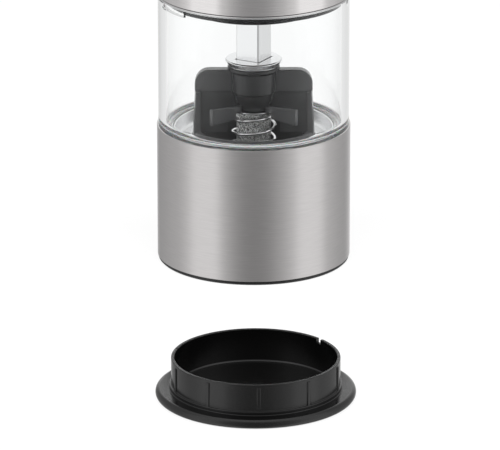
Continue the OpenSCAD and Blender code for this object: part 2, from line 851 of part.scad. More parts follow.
// Ring gear shared by both stages
module ring_gear() {
    root_r = ring_pitch_r + 1.15 * gear_m;
    tip_r = ring_pitch_r - 0.8 * gear_m;
    color("#3a3a3c")
        translate([0, 0, base_top])
            linear_extrude(gearbox_top - base_top)
                difference() {
                    circle(r = ring_gear_r);
                    polygon(gear_points(ring_teeth, root_r, tip_r, -backlash));
                }
}

// ---- Motor unit ----

// Black base of the motor unit: cup for the gears, boss and plate over the chamber, lugs
module motor_base() {
    cup_r = ring_gear_r + seat_gap;
    color("#1a1a1b")
        difference() {
            union() {
                turned([[bush_r + 0.02, boss_z], [boss_r, boss_z], [boss_r, plate_z],
                    [plate_r - 0.4, plate_z], [plate_r, plate_z + 0.4],
                    [plate_r, upper_z - 0.2], [core_r - 0.2, upper_z - 0.2],
                    [core_r - 0.2, base_top + 3], [core_r - 2, base_top + 3],
                    [core_r - 2, base_top], [cup_r + 1.8, base_top],
                    [cup_r + 1.8, gearbox_top], [cup_r, gearbox_top],
                    [cup_r, base_top], [bush_r + 0.02, base_top]]);
                for (side = [0, 180])
                    rotate([0, 0, side])
                        intersection() {
                            tube(plate_z, plate_z + lug_h, plate_r + lug_out, plate_r - 2);
                            sector(lug_angle, body_r, plate_z, plate_z + lug_h);
                        }
                screw_bosses(base_top - eps, gearbox_top);
            }
            screw_holes(base_top, gearbox_top + 1);
        }
}

// Bosses beside the gear cup for the long screws
module screw_bosses(z0, z1) {
    for (i = [0 : 3])
        rotate([0, 0, 45 + 90 * i])
            translate([gear_screw_r, 0, z0])
                cylinder(r = screw_boss_r, h = z1 - z0, $fn = fine);
}

module screw_holes(z0, z1) {
    for (i = [0 : 3])
        rotate([0, 0, 45 + 90 * i])
            translate([gear_screw_r, 0, z0])
                cylinder(r = long_screw_r + seat_gap, h = z1 - z0, $fn = fine);
}

// Sintered bush that the output carrier turns in
module output_bush() {
    color("#9a7b4c")
        tube(boss_z + 0.4, base_top, bush_r, socket_r + bearing_play);
}

// Polished ring between chamber and upper sleeve
module lock_ring() {
    low = chamber_top + 0.1;
    color("#dcdcde")
        turned([[plate_r + 0.02, low], [body_r - 0.4, low], [body_r - 0.1, low + 0.25],
            [body_r - 0.1, low + ring_t - 0.25], [body_r - 0.4, low + ring_t - 0.1],
            [plate_r + 0.02, low + ring_t - 0.1]]);
}

// Steel plate that closes the gears and carries the motor
module gear_cover() {
    color("#a9abad")
        difference() {
            union() {
                disc(gearbox_top, motor_z, ring_gear_r + 1.9);
                screw_bosses(gearbox_top, motor_z);
            }
            disc(gearbox_top - 1, motor_z + 1, nose_r + seat_gap);
            screw_holes(gearbox_top - 1, motor_z + 1);
        }
}

// Four long screws that hold the gearbox together
module gear_screws() {
    color("#c4c4c6")
        for (i = [0 : 3])
            rotate([0, 0, 45 + 90 * i])
                translate([gear_screw_r, 0, 0]) {
                    disc(base_top + 1, motor_z + eps, long_screw_r);
                    difference() {
                        disc(motor_z, motor_z + 1.6, 2.2);
                        translate([-0.3, -3, motor_z + 0.9]) cube([0.6, 6, 2]);
                    }
                }
}

// Steel can of the motor, flat on two sides
module motor_can() {
    color("#b4b6b8")
        difference() {
            union() {
                turned([[0, motor_z], [motor_d / 2 - 1, motor_z], [motor_d / 2, motor_z + 1],
                    [motor_d / 2, motor_top], [0, motor_top]]);
                disc(gearbox_top + 0.2, motor_z + eps, nose_r);
            }
            disc(gearbox_top - 1, motor_top + 1, motor_shaft_r + bearing_play);
        }
}

// Black rear cap of the motor with its two terminals
module motor_end_cap() {
    color("#1f1f20")
        difference() {
            union() {
                disc(motor_top, motor_top + end_cap_h, motor_d / 2 - 0.6);
                for (side = [-1, 1])
                    translate([side * terminal_x - 0.4, -1.4, motor_top + end_cap_h - eps])
                        cube([0.8, 2.8, 3]);
            }
            disc(motor_top - 1, motor_top + end_cap_h + 1, motor_shaft_r + bearing_play);
        }
}

// Frame of the core: tube round the motor, fins to the sleeve, deck for the cells
module core_frame() {
    tube_r = core_tube_r + core_wall;
    deck_z = holder_z - deck_t;
    color("#1d1d1e")
        difference() {
            union() {
                tube(motor_z, deck_z, tube_r, core_tube_r);
                tube(deck_z, holder_z, holder_r, 10.5);
                for (i = [0 : 3])
                    rotate([0, 0, 90 * i])
                        translate([tube_r - 0.5, -0.8, motor_z])
                            cube([holder_r - tube_r - 0.3, 1.6, deck_z - motor_z + eps]);
            }
            for (i = [0 : 3])
                rotate([0, 0, 45 + 90 * i])
                    translate([gear_screw_r, 0, motor_z - 1])
                        cylinder(r = screw_boss_r, h = 3, $fn = fine);
        }
}

// Cross-shaped holder: two end plates and a column with a cradle for each cell
module battery_holder() {
    color("#202021")
        difference() {
            turned([[lead_bore_r, holder_z], [holder_r, holder_z], [holder_r, holder_z + deck_t],
                [column_r, holder_z + deck_t], [column_r, holder_top - deck_t],
                [holder_r, holder_top - deck_t], [holder_r, holder_top],
                [lead_bore_r, holder_top]]);
            for (i = [0 : 3])
                rotate([0, 0, 45 + 90 * i])
                    translate([cell_circle_r, 0, seat_z])
                        cylinder(r = cell_r + 0.4, h = seat_top - seat_z);
        }
}

// Four cells, every other one the other way up
module cells() {
    color("#7a7d80")
        for (i = [0 : 3])
            rotate([0, 0, 45 + 90 * i])
                translate([cell_circle_r, 0, i % 2 == 0 ? cell_z : cell_z + cell_l + nub_h])
                    mirror([0, 0, i % 2])
                        turned([[0, 0], [cell_r - 0.4, 0], [cell_r, 0.4], [cell_r, cell_l - 0.4],
                            [cell_r - 0.4, cell_l], [2.75, cell_l], [2.75, cell_l + nub_h],
                            [0, cell_l + nub_h]]);
}

// Coned contact springs, one at each cell's flat end
module contact_springs() {
    color("#d0d0d2")
        for (i = [0 : 3])
            rotate([0, 0, 45 + 90 * i])
                translate([cell_circle_r, 0, i % 2 == 0 ? seat_z : seat_top])
                    mirror([0, 0, i % 2])
                        turned([[2.6, 0], [4.4, 0], [2.2, contact_l], [1.2, contact_l]]);
}

// Contact pads at the cells' nubs
module contact_plates() {
    color("#c8b98a")
        for (i = [0 : 3])
            rotate([0, 0, 45 + 90 * i])
                translate([cell_circle_r, 0, i % 2 == 0 ? seat_top - contact_l : seat_z])
                    cylinder(r = 4, h = contact_l, $fn = fine);
}

// Two leads from the motor's terminals through the holder's column to the switch
module wires() {
    level = motor_top + end_cap_h + 3.8;
    near = 1.1;
    far = terminal_x - 0.5 - wire_r;
    for (side = [-1, 1])
        color(side < 0 ? "#1d1d1e" : "#a3201c") {
            translate([side * far, 0, level - 2.2]) cylinder(r = wire_r, h = 2.2, $fn = 24);
            translate([side * near, 0, level])
                rotate([0, side * 90, 0]) cylinder(r = wire_r, h = far - near, $fn = 24);
            translate([side * near, 0, level])
                cylinder(r = wire_r, h = switch_z - level, $fn = 24);
            for (x = [near, far])
                translate([side * x, 0, level]) sphere(r = wire_r, $fn = 24);
        }
}

// Push switch on the holder's top plate
module power_switch() {
    color("#303032")
        difference() {
            translate([-switch_side / 2, -switch_side / 2, switch_z])
                cube([switch_side, switch_side, switch_h]);
            disc(switch_z + 0.6, switch_z + switch_h + 1, stem_r + run_gap);
        }
}

// Plunger of the switch, pushed by the button's stem
module switch_plunger() {
    color("#c9c9c9")
        disc(switch_z + 0.6 + button_travel + 0.3, plunger_top, stem_r);
}

// ---- Upper sleeve, top cap and button ----

// Brushed steel sleeve over motor and cells
module upper_sleeve() {
    color("#a5a1a0")
        turned([[sleeve_in_r, upper_z], [body_r - 0.15, upper_z], [body_r, upper_z + 0.15],
            [body_r, upper_top - 0.15], [body_r - 0.15, upper_top], [sleeve_in_r, upper_top]]);
}

// Black top cap with a rounded edge and a bore for the button
module top_cap() {
    bore_r = button_r + run_gap;
    edge = 1.2;
    color("#1a1a1b")
        difference() {
            rotate_extrude()
                union() {
                    translate([0, upper_top]) square([lip_r - edge, top_h]);
                    translate([0, upper_top]) square([lip_r, top_h - edge]);
                    translate([lip_r - edge, top_z - edge]) circle(r = edge, $fn = fine);
                    translate([core_r - 2, guide_z]) square([2, upper_top - guide_z + 1]);
                }
            disc(upper_top - 1, cap_roof_z, core_r - 2);
            disc(upper_top - 1, top_z + 1, bore_r);
        }
    color("#1a1a1b")
        for (i = [0 : 2])
            rotate([0, 0, 120 * i])
                translate([guide_screw_r, 0, 0])
                    tube(guide_z + guide_t, cap_roof_z + eps, 2, 1.05);
}

// Plate under the top cap that the button's spring stands on
module button_guide() {
    color("#262627")
        difference() {
            disc(guide_z, guide_z + guide_t, guide_screw_r + 2.4);
            disc(guide_z - 1, guide_z + guide_t + 1, stem_r + run_gap);
            for (i = [0 : 2])
                rotate([0, 0, 120 * i])
                    translate([guide_screw_r, 0, guide_z - 1])
                        cylinder(r = 1.1, h = guide_t + 2, $fn = fine);
        }
}

// Three screws that hold the guide plate
module guide_screws() {
    color("#c4c4c6")
        for (i = [0 : 2])
            rotate([0, 0, 120 * i])
                translate([guide_screw_r, 0, 0]) {
                    disc(guide_z - 0.6, guide_z, 1.9);
                    disc(guide_z - eps, cap_roof_z - 0.6, 1);
                }
}

// Power button: crowned top, flange that holds it in, stem down to the switch
module power_button() {
    crown = 0.9;
    skirt_in = button_r - 1.4;
    color("#c4c5c7")
        turned([[0, stem_foot], [stem_r, stem_foot], [stem_r, button_web_z],
            [skirt_in, button_web_z], [skirt_in, button_flange_z],
            [button_r + button_flange, button_flange_z],
            [button_r + button_flange, button_flange_z + button_flange_t],
            [button_r, button_flange_z + button_flange_t], [button_r, button_top - crown - 0.5],
            [button_r - 0.5, button_top - crown], [button_r * 0.6, button_top - crown * 0.3],
            [button_r * 0.2, button_top], [0, button_top]]);
}

// Return spring of the button
module button_spring() {
    low = guide_z + guide_t + 0.1 + button_wire / 2;
    high = button_web_z - 0.1 - button_wire / 2;
    last = button_coils * spring_rings;
    heights = [for (k = [0 : last]) low + (high - low) * k / last];
    color("#cfcfd2") wound_wire(button_spring_r, button_wire, 0, heights);
}

// ---- Base cap, taken off and stood beside the column ----

// Black push-on cap: rounded flange, thin rim with friction ribs and a notch
module base_cap() {
    r = body_r - cap_step;
    rim_r = cap_rim_r;
    rim_top = cap_flange_t + cap_rim_h;
    floor_t = 2;
    edge = cap_flange_t / 2;
    notch_angle = 39;
    color("#1e1e1f")
        translate([cap_stand_x, -cap_stand_y, 0])
            difference() {
                union() {
                    rotate_extrude()
                        union() {
                            square([r - edge, cap_flange_t]);
                            translate([r - edge, edge]) circle(r = edge, $fn = fine);
                            square([rim_r + 0.5, cap_flange_t + 1.2]);
                            square([rim_r, rim_top]);
                        }
                    for (i = [0 : cap_ribs - 1])
                        rotate([0, 0, -88 + i * 360 / cap_ribs])
                            translate([rim_r - 0.5, -0.6, cap_flange_t])
                                cube([0.5 + cap_rib_out, 1.2, cap_rim_h - 0.8]);
                }
                translate([0, 0, floor_t]) cylinder(r = rim_r - cap_wall, h = rim_top);
                translate([0, 0, -1]) cylinder(r = rim_r - 6, h = 1.5);
                rotate([0, 0, notch_angle])
                    translate([rim_r - 2, -0.9, rim_top - 1.4]) cube([4, 1.8, 3]);
            }
}

lower_housing();
lower_sleeve();
chamber_seal();
chamber();
fixed_burr();
floor_dish();
floor_screws();
bridge();
spring_washer();
drive_shaft();
burr_driver();
hub_collar();
burr_spring();
output_carrier();
turning_burr();
grind_knob();
knob_insert();
planet_2a();
planet_2b();
planet_2c();
first_carrier();
planet_1a();
planet_1b();
planet_1c();
motor_pinion();
motor_shaft();
motor_base();
output_bush();
lock_ring();
ring_gear();
gear_cover();
gear_screws();
motor_can();
motor_end_cap();
core_frame();
battery_holder();
cells();
contact_springs();
contact_plates();
wires();
power_switch();
switch_plunger();
upper_sleeve();
top_cap();
button_guide();
guide_screws();
power_button();
button_spring();
base_cap();
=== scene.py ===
import math

import bpy
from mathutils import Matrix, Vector


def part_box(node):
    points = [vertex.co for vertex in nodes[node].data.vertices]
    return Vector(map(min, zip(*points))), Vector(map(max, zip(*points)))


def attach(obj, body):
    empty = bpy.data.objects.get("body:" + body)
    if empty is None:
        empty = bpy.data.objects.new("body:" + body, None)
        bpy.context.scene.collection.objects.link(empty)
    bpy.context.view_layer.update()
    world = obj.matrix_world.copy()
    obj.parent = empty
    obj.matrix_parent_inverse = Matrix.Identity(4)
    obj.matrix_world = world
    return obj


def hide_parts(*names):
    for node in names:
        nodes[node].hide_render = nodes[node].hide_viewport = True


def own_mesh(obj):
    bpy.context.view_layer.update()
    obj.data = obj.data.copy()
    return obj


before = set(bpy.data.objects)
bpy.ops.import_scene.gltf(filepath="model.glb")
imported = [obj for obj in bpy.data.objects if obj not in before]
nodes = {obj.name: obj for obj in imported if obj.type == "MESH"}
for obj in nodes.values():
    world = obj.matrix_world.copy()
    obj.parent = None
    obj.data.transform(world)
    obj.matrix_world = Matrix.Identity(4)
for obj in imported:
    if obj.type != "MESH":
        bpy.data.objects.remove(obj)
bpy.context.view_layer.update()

bpy.ops.object.select_all(action="DESELECT")


# ---- Camera ----
# A long lens a metre and a half in front of the column, looking down 18.5 degrees. The
# small shifts put the column where the photograph has it in its 500 by 450 frame.
CAMERA_DISTANCE = 1.5
CAMERA_HEIGHT = 0.505
CAMERA_PITCH = 18.48
bpy.ops.object.camera_add(location=(0, -CAMERA_DISTANCE, CAMERA_HEIGHT))
camera = bpy.context.object
camera.rotation_euler = (math.radians(90 - CAMERA_PITCH), 0, 0)
camera.data.sensor_width = 36
camera.data.lens = 364.3
camera.data.shift_x = -0.0074
camera.data.shift_y = 0.037
camera.data.clip_end = 30
bpy.context.scene.camera = camera


# ---- Studio ----
# A pale floor, an even white surround, and three soft lamps. The surround is darker on the
# camera's side and has two tall soft boxes at left and right, which brushed steel shows.
bpy.context.scene.view_settings.view_transform = "Standard"


def add_node(tree, kind, operation=None, values=None):
    """Adds a shader node, with values for some of its inputs. Mix nodes here mix colours."""
    node = tree.nodes.new("ShaderNode" + kind)
    if kind == "Mix":
        node.data_type = "RGBA"
    if operation:
        node.operation = operation
    for socket, value in (values or {}).items():
        node.inputs[socket].default_value = value
    return node


def wire(tree, *links):
    """Joins nodes; each link names a node, its output, the next node and its input."""
    for start, output, end, socket in links:
        tree.links.new(start.outputs[output], end.inputs[socket])


bpy.ops.mesh.primitive_plane_add(size=12)
floor = bpy.context.object
floor.name = "studio_floor"
floor.visible_glossy = False
floor.visible_transmission = False
floor_paint = bpy.data.materials.new("Pale studio floor")
floor_paint.use_nodes = True
tree = floor_paint.node_tree
shader = tree.nodes["Principled BSDF"]
shader.inputs["Base Color"].default_value = (0.9, 0.9, 0.9, 1)
shader.inputs["Roughness"].default_value = 0.9
shader.inputs["Specular IOR Level"].default_value = 0.1
glow = add_node(tree, "Emission")
seen_as = add_node(tree, "LightPath")
seen = add_node(tree, "Math", "MAXIMUM")
share = add_node(tree, "Math", "MULTIPLY", {1: 0.86})
blend = add_node(tree, "MixShader")
wire(tree, (seen_as, "Is Camera Ray", seen, 0), (seen_as, "Is Transmission Ray", seen, 1),
     (seen, 0, share, 0), (share, 0, blend, "Fac"), (shader, "BSDF", blend, 1),
     (glow, "Emission", blend, 2), (blend, "Shader", tree.nodes["Material Output"], "Surface"))
floor.data.materials.append(floor_paint)

# Brightness of the surround at bearings round the column, 0 being towards the camera
SURROUND = ((-180, 1.0), (-170, 0.85), (-157, 0.42), (-146, 0.44), (-128, 0.5), (-114, 0.56),
            (-98, 0.62), (-82, 0.85), (-67, 1.22), (-54, 1.28), (-40, 0.76), (-30, 0.54),
            (-14, 0.35), (12, 0.33), (26, 0.45), (39, 0.6), (52, 0.82), (64, 1.22), (80, 1.22),
            (95, 0.75), (111, 0.6), (130, 0.5), (148, 0.5), (165, 0.85), (180, 1.0))
world = bpy.data.worlds.new("Studio surround")
bpy.context.scene.world = world
world.use_nodes = True
tree = world.node_tree
look = add_node(tree, "TexCoord")
split = add_node(tree, "SeparateXYZ")
towards = add_node(tree, "Math", "MULTIPLY", {1: -1})
bearing = add_node(tree, "Math", "ARCTAN2")
turned = add_node(tree, "Math", "MULTIPLY_ADD", {1: 1 / math.tau, 2: 0.5})
ramp = add_node(tree, "ValToRGB")
ramp.color_ramp.interpolation = "CARDINAL"
stops = ramp.color_ramp.elements
for stop, (degrees, bright) in zip((stops[0], stops[1]), (SURROUND[0], SURROUND[-1])):
    stop.position = degrees / 360 + 0.5
    stop.color = (bright, bright, bright, 1)
for degrees, bright in SURROUND[1:-1]:
    stop = stops.new(degrees / 360 + 0.5)
    stop.color = (bright, bright, bright, 1)
overhead = add_node(tree, "MapRange", values={"From Min": 0.7, "From Max": 0.95})
sky = add_node(tree, "Mix", values={"B": (0.95, 0.95, 0.95, 1)})
wire(tree, (look, "Generated", split, 0), (split, "Y", towards, 0), (split, "X", bearing, 0),
     (towards, 0, bearing, 1), (bearing, 0, turned, 0), (turned, 0, ramp, "Fac"),
     (split, "Z", overhead, "Value"), (overhead, "Result", sky, "Factor"),
     (ramp, "Color", sky, "A"))

# Only what the object mirrors has those bearings. The rest is even, and from inside the
# chamber it is paler, but for the camera's side
path = add_node(tree, "LightPath")
mirrored = add_node(tree, "Math", "GREATER_THAN", {1: 0.5})
even = add_node(tree, "Mix", values={"A": (0.35, 0.35, 0.35, 1)})
aside = add_node(tree, "MapRange", values={"From Min": 0.85, "From Max": 0.4, "To Max": 0.45})
in_chamber = add_node(tree, "Math", "GREATER_THAN", {1: 0.5})
paler = add_node(tree, "Math", "MULTIPLY")
inside = add_node(tree, "Mix", values={"B": (1.25, 1.25, 1.25, 1)})
wire(tree, (path, "Glossy Depth", mirrored, 0), (mirrored, 0, even, "Factor"),
     (sky, "Result", even, "B"), (towards, 0, aside, "Value"),
     (path, "Transmission Depth", in_chamber, 0), (in_chamber, 0, paler, 0),
     (aside, "Result", paler, 1), (paler, 0, inside, "Factor"), (even, "Result", inside, "A"))

# Seen straight, or straight through the chamber, the surround is plain white
direct = add_node(tree, "Math", "ADD")
bounced = add_node(tree, "Math", "ADD")
straight = add_node(tree, "Math", "LESS_THAN", {1: 0.5})
unbroken = add_node(tree, "Math", "MULTIPLY")
plain_white = add_node(tree, "Mix", values={"B": (1, 1, 1, 1)})
wire(tree, (path, "Is Camera Ray", direct, 0), (path, "Is Transmission Ray", direct, 1),
     (path, "Glossy Depth", bounced, 0), (path, "Diffuse Depth", bounced, 1),
     (bounced, 0, straight, 0), (direct, 0, unbroken, 0), (straight, 0, unbroken, 1),
     (unbroken, 0, plain_white, "Factor"), (inside, "Result", plain_white, "A"),
     (plain_white, "Result", tree.nodes["Background"], "Color"))

# Lamps, which light the object but don't show in it
LAMP_SIZE = 0.8
for name, place, watts in (("left", (-1.0, -0.5, 0.7), 12), ("right", (1.0, -0.35, 0.7), 12),
                           ("overhead", (0, -0.6, 1.3), 14)):
    bpy.ops.object.light_add(type="AREA", location=place)
    lamp = bpy.context.object
    lamp.name = f"{name}_soft_lamp"
    lamp.data.size = LAMP_SIZE
    lamp.data.energy = watts
    lamp.visible_glossy = lamp.visible_transmission = False
    aim = Vector((0, 0, 0.07)) - lamp.location
    lamp.rotation_euler = aim.to_track_quat("-Z", "Y").to_euler()


# ---- Lower housing and its seal ----
# One black injection moulding carries the burrs, the dish and the bridge, and its lip shows
# under the steel sleeve. A soft ring in it takes up the play of the chamber's neck.
MM = 0.001


def finish(name, colour, metallic=0.0, roughness=0.5, **plain):
    """A material whose plain values sit on its own Principled shader."""
    material = bpy.data.materials.new(name)
    material.use_nodes = True
    surface = material.node_tree.nodes["Principled BSDF"]
    surface.inputs["Base Color"].default_value = (*colour, 1)
    surface.inputs["Metallic"].default_value = metallic
    surface.inputs["Roughness"].default_value = roughness
    for socket, value in plain.items():
        surface.inputs[socket.replace("_", " ")].default_value = value
    return material


def effect_group(name, inputs):
    """An empty node group for an effect that several finishes use. It has named inputs, and
    puts out a colour, a roughness and the height of a grain."""
    group = bpy.data.node_groups.new(name, "ShaderNodeTree")
    for label, kind, value in inputs:
        socket = group.interface.new_socket(label, in_out="INPUT", socket_type=kind)
        socket.default_value = value
    for label, kind in (("Color", "NodeSocketColor"), ("Roughness", "NodeSocketFloat"),
                        ("Height", "NodeSocketFloat")):
        group.interface.new_socket(label, in_out="OUTPUT", socket_type=kind)
    return group, group.nodes.new("NodeGroupInput"), group.nodes.new("NodeGroupOutput")


def lay(material, group, bump, **values):
    """Lays an effect on a finish: its colour, its roughness and its grain, which is as deep as
    bump in millimetres."""
    made = material.node_tree
    surface = made.nodes["Principled BSDF"]
    effect = add_node(made, "Group")
    effect.node_tree = group
    for socket, value in values.items():
        effect.inputs[socket].default_value = value
    relief = add_node(made, "Bump", values={"Strength": 1, "Distance": bump * MM})
    wire(made, (effect, "Color", surface, "Base Color"),
         (effect, "Roughness", surface, "Roughness"), (effect, "Height", relief, "Height"),
         (relief, "Normal", surface, "Normal"))
    return material


def wear(piece, material):
    """Gives a piece or a CAD node one finish all over."""
    if not piece.material_slots:
        piece.data.materials.append(material)
    for place in piece.material_slots:
        place.material = material


# Moulded grain: fine spark-eroded texture, with slow flow marks in tone and gloss
moulding, given, out = effect_group(
    "Moulded grain",
    (("Plastic", "NodeSocketColor", (0.03, 0.03, 0.03, 1)),
     ("Roughness", "NodeSocketFloat", 0.4), ("Grain", "NodeSocketFloat", 2500.0)))
place = add_node(moulding, "TexCoord")
grain = add_node(moulding, "TexNoise", values={"Detail": 2})
flow = add_node(moulding, "TexNoise", values={"Scale": 55, "Detail": 2})
tone = add_node(moulding, "Math", "MULTIPLY_ADD", {1: 0.3, 2: 0.85})
shade = add_node(moulding, "VectorMath", "SCALE")
rough = add_node(moulding, "Math", "MULTIPLY_ADD", {1: 0.08})
wire(moulding, (place, "Object", grain, "Vector"), (place, "Object", flow, "Vector"),
     (given, "Grain", grain, "Scale"), (flow, "Fac", tone, 0), (given, "Plastic", shade, 0),
     (tone, 0, shade, "Scale"), (shade, 0, out, "Color"), (flow, "Fac", rough, 0),
     (given, "Roughness", rough, 2), (rough, 0, out, "Roughness"),
     (grain, "Fac", out, "Height"))


def moulded(name, colour, bump, roughness, grain=2500.0, **plain):
    """Plastic with the grain of its mould."""
    return lay(finish(name, colour, **plain), moulding, bump, Plastic=(*colour, 1),
               Roughness=roughness, Grain=grain)


housing_black = moulded("Black housing plastic", (0.006, 0.006, 0.0063), 0.004, 0.32, IOR=1.45)
wear(nodes["lower_housing"], housing_black)
wear(nodes["chamber_seal"],
     moulded("Milky seal silicone", (0.7, 0.7, 0.7), 0.004, 0.5, grain=900.0, IOR=1.41,
             Subsurface_Weight=0.2, Subsurface_Scale=0.001))


# ---- Lower sleeve ----
# Thin stainless tube, rolled and seam-welded, brushed round its axis and pressed over the
# housing. Its edges are broken by the finishing belt.
BODY_R, SLEEVE_IN_R = 30.0, 29.4
LOWER_FROM, LOWER_TO = 1.2, 43.3
BRUSHED_EDGE = 0.18
SHADE_BREAK = 32  # degrees between two faces from which their edge shades sharp


def take(piece):
    """Makes a piece the only one that the next operator acts on."""
    bpy.ops.object.select_all(action="DESELECT")
    piece.select_set(True)
    bpy.context.view_layer.objects.active = piece


def turn(name, outline, steps=160, sweep=360):
    """Turns an outline of (radius, height) in millimetres round the column's axis. It is closed
    first, unless both of its ends lie on the axis."""
    on_axis = outline[0][0] == 0 and outline[-1][0] == 0
    bpy.ops.object.select_all(action="DESELECT")
    bpy.ops.mesh.primitive_plane_add(size=MM)
    piece = bpy.context.object
    piece.name = piece.data.name = name
    bpy.ops.object.mode_set(mode="EDIT")
    bpy.ops.mesh.select_mode(type="VERT")
    bpy.ops.mesh.merge(type="CENTER")
    bpy.ops.transform.translate(value=(outline[0][0] * MM, 0, outline[0][1] * MM))
    for start, end in zip(outline, outline[1:] if on_axis else outline[1:] + outline[:1]):
        step = ((end[0] - start[0]) * MM, 0, (end[1] - start[1]) * MM)
        bpy.ops.mesh.extrude_vertices_move(TRANSFORM_OT_translate={"value": step})
    bpy.ops.mesh.select_all(action="SELECT")
    bpy.ops.mesh.remove_doubles(threshold=1e-6)
    bpy.ops.mesh.spin(steps=steps, angle=-math.radians(sweep), center=(0, 0, 0), axis=(0, 0, 1))
    bpy.ops.mesh.select_all(action="SELECT")
    bpy.ops.mesh.remove_doubles(threshold=1e-6)
    bpy.ops.mesh.dissolve_degenerate(threshold=1e-7)
    bpy.ops.mesh.select_all(action="SELECT")
    bpy.ops.mesh.fill_holes(sides=0)
    bpy.ops.mesh.select_all(action="SELECT")
    bpy.ops.mesh.normals_make_consistent(inside=False)
    bpy.ops.object.mode_set(mode="OBJECT")
    return piece


def smooth(piece):
    """Shades a piece smooth between its sharp edges, with its flats kept flat."""
    take(piece)
    bpy.ops.object.shade_smooth_by_angle(angle=math.radians(SHADE_BREAK))
    flats = piece.modifiers.new("Flats kept flat", "WEIGHTED_NORMAL")
    flats.keep_sharp = True
    bpy.ops.object.modifier_apply(modifier=flats.name)
    return piece


def soften(piece, width, segments=3, sharp=35):
    """Rounds the edges that are sharper than an angle, then shades the piece smooth."""
    take(piece)
    edge = piece.modifiers.new("Rounded edges", "BEVEL")
    edge.width = width * MM
    edge.segments = segments
    edge.limit_method = "ANGLE"
    edge.angle_limit = math.radians(sharp)
    bpy.ops.object.modifier_apply(modifier=edge.name)
    return smooth(piece)


def fit(piece, body, slot, material, *replaced):
    """Finishes a piece, lets it ride on its body, and hides the CAD nodes it stands for."""
    wear(piece, material)
    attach(piece, body)
    if replaced:
        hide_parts(*replaced)
    return piece


# Brushing: fine scratches round the axis, also on faces square to it, uneven along them
brushing, given, out = effect_group(
    "Brushing round the axis",
    (("Metal", "NodeSocketColor", (0.6, 0.6, 0.6, 1)), ("Roughness", "NodeSocketFloat", 0.3),
     ("Contrast", "NodeSocketFloat", 0.1)))
place = add_node(brushing, "TexCoord")
apart = add_node(brushing, "SeparateXYZ")
flat = add_node(brushing, "CombineXYZ")
reach = add_node(brushing, "VectorMath", "LENGTH")
along = add_node(brushing, "Math", "ADD")
lane = add_node(brushing, "CombineXYZ")
streak = add_node(brushing, "Mapping", values={"Scale": (160, 160, 4200)})
lines = add_node(brushing, "TexNoise", values={"Scale": 1, "Detail": 4, "Roughness": 0.65})
cloud = add_node(brushing, "TexNoise", values={"Scale": 90, "Detail": 3})
centred = add_node(brushing, "Math", "SUBTRACT", {1: 0.5})
scaled = add_node(brushing, "Math", "MULTIPLY_ADD", {2: 1})
shade = add_node(brushing, "VectorMath", "SCALE")
rough = add_node(brushing, "Math", "MULTIPLY_ADD", {1: 0.05})
wire(brushing, (place, "Object", apart, 0), (apart, "X", flat, "X"), (apart, "Y", flat, "Y"),
     (flat, 0, reach, 0), (reach, "Value", along, 0), (apart, "Z", along, 1),
     (apart, "X", lane, "X"), (apart, "Y", lane, "Y"), (along, 0, lane, "Z"),
     (lane, 0, streak, "Vector"), (streak, 0, lines, "Vector"),
     (place, "Object", cloud, "Vector"), (lines, "Fac", centred, 0),
     (centred, 0, scaled, 0), (given, "Contrast", scaled, 1), (given, "Metal", shade, 0),
     (scaled, 0, shade, "Scale"), (shade, 0, out, "Color"), (cloud, "Fac", rough, 0),
     (given, "Roughness", rough, 2), (rough, 0, out, "Roughness"), (lines, "Fac", out, "Height"))


def brushed(name, metal, bump, roughness, contrast, **plain):
    """Metal with scratches or turning marks round the axis."""
    return lay(finish(name, metal, metallic=1, **plain), brushing, bump, Metal=(*metal, 1),
               Roughness=roughness, Contrast=contrast)


def brushed_steel(name, metal, roughness):
    """Stainless steel whose scratches run round the axis, so that light spreads along it."""
    steel = brushed(name, metal, 0.0015, roughness, 0.27, Anisotropic=0.75,
                    Anisotropic_Rotation=0.25)
    made = steel.node_tree
    round_axis = add_node(made, "Tangent")
    round_axis.direction_type = "RADIAL"
    round_axis.axis = "Z"
    wire(made, (round_axis, 0, made.nodes["Principled BSDF"], "Tangent"))
    return steel


def steel_tube(name, low, high):
    """A brushed sleeve between two heights."""
    return soften(turn(name, [(SLEEVE_IN_R, low), (BODY_R, low), (BODY_R, high),
                              (SLEEVE_IN_R, high)], steps=192), BRUSHED_EDGE)


fit(steel_tube("lower_sleeve_tube", LOWER_FROM, LOWER_TO), "base_unit", "brushed_steel",
    brushed_steel("Brushed lower sleeve", (0.62, 0.603, 0.6), 0.27), "lower_sleeve")


# ---- Burrs and knob ----
# Fired ceramic burrs, unglazed, with pale specks in a grey body. The grind knob under them is
# moulded in black round a brass insert that runs on the spindle's end.


def colour_ramp(tree, *stops):
    """Adds a ramp between two colours, each with the place where it starts or ends."""
    node = add_node(tree, "ValToRGB")
    for stop, (place, colour) in zip(node.color_ramp.elements, stops):
        stop.position = place
        stop.color = (*colour, 1)
    return node


ceramic = finish("Unglazed burr ceramic", (0.1, 0.097, 0.092), roughness=0.62)
made = ceramic.node_tree
surface = made.nodes["Principled BSDF"]
place = add_node(made, "TexCoord")
specks = add_node(made, "TexNoise", values={"Scale": 1600, "Detail": 2})
body_tone = colour_ramp(made, (0.35, (0.07, 0.067, 0.063)), (0.75, (0.2, 0.195, 0.185)))
pits = add_node(made, "Bump", values={"Distance": 0.02 * MM})
wire(made, (place, "Object", specks, "Vector"), (specks, "Fac", body_tone, "Fac"),
     (body_tone, "Color", surface, "Base Color"), (specks, "Fac", pits, "Height"),
     (pits, "Normal", surface, "Normal"))
wear(nodes["fixed_burr"], ceramic)
wear(nodes["turning_burr"], ceramic)
wear(nodes["grind_knob"], housing_black)
turned_brass = brushed("Turned brass", (0.6, 0.42, 0.16), 0.003, 0.25, 0.2)
wear(nodes["knob_insert"], turned_brass)


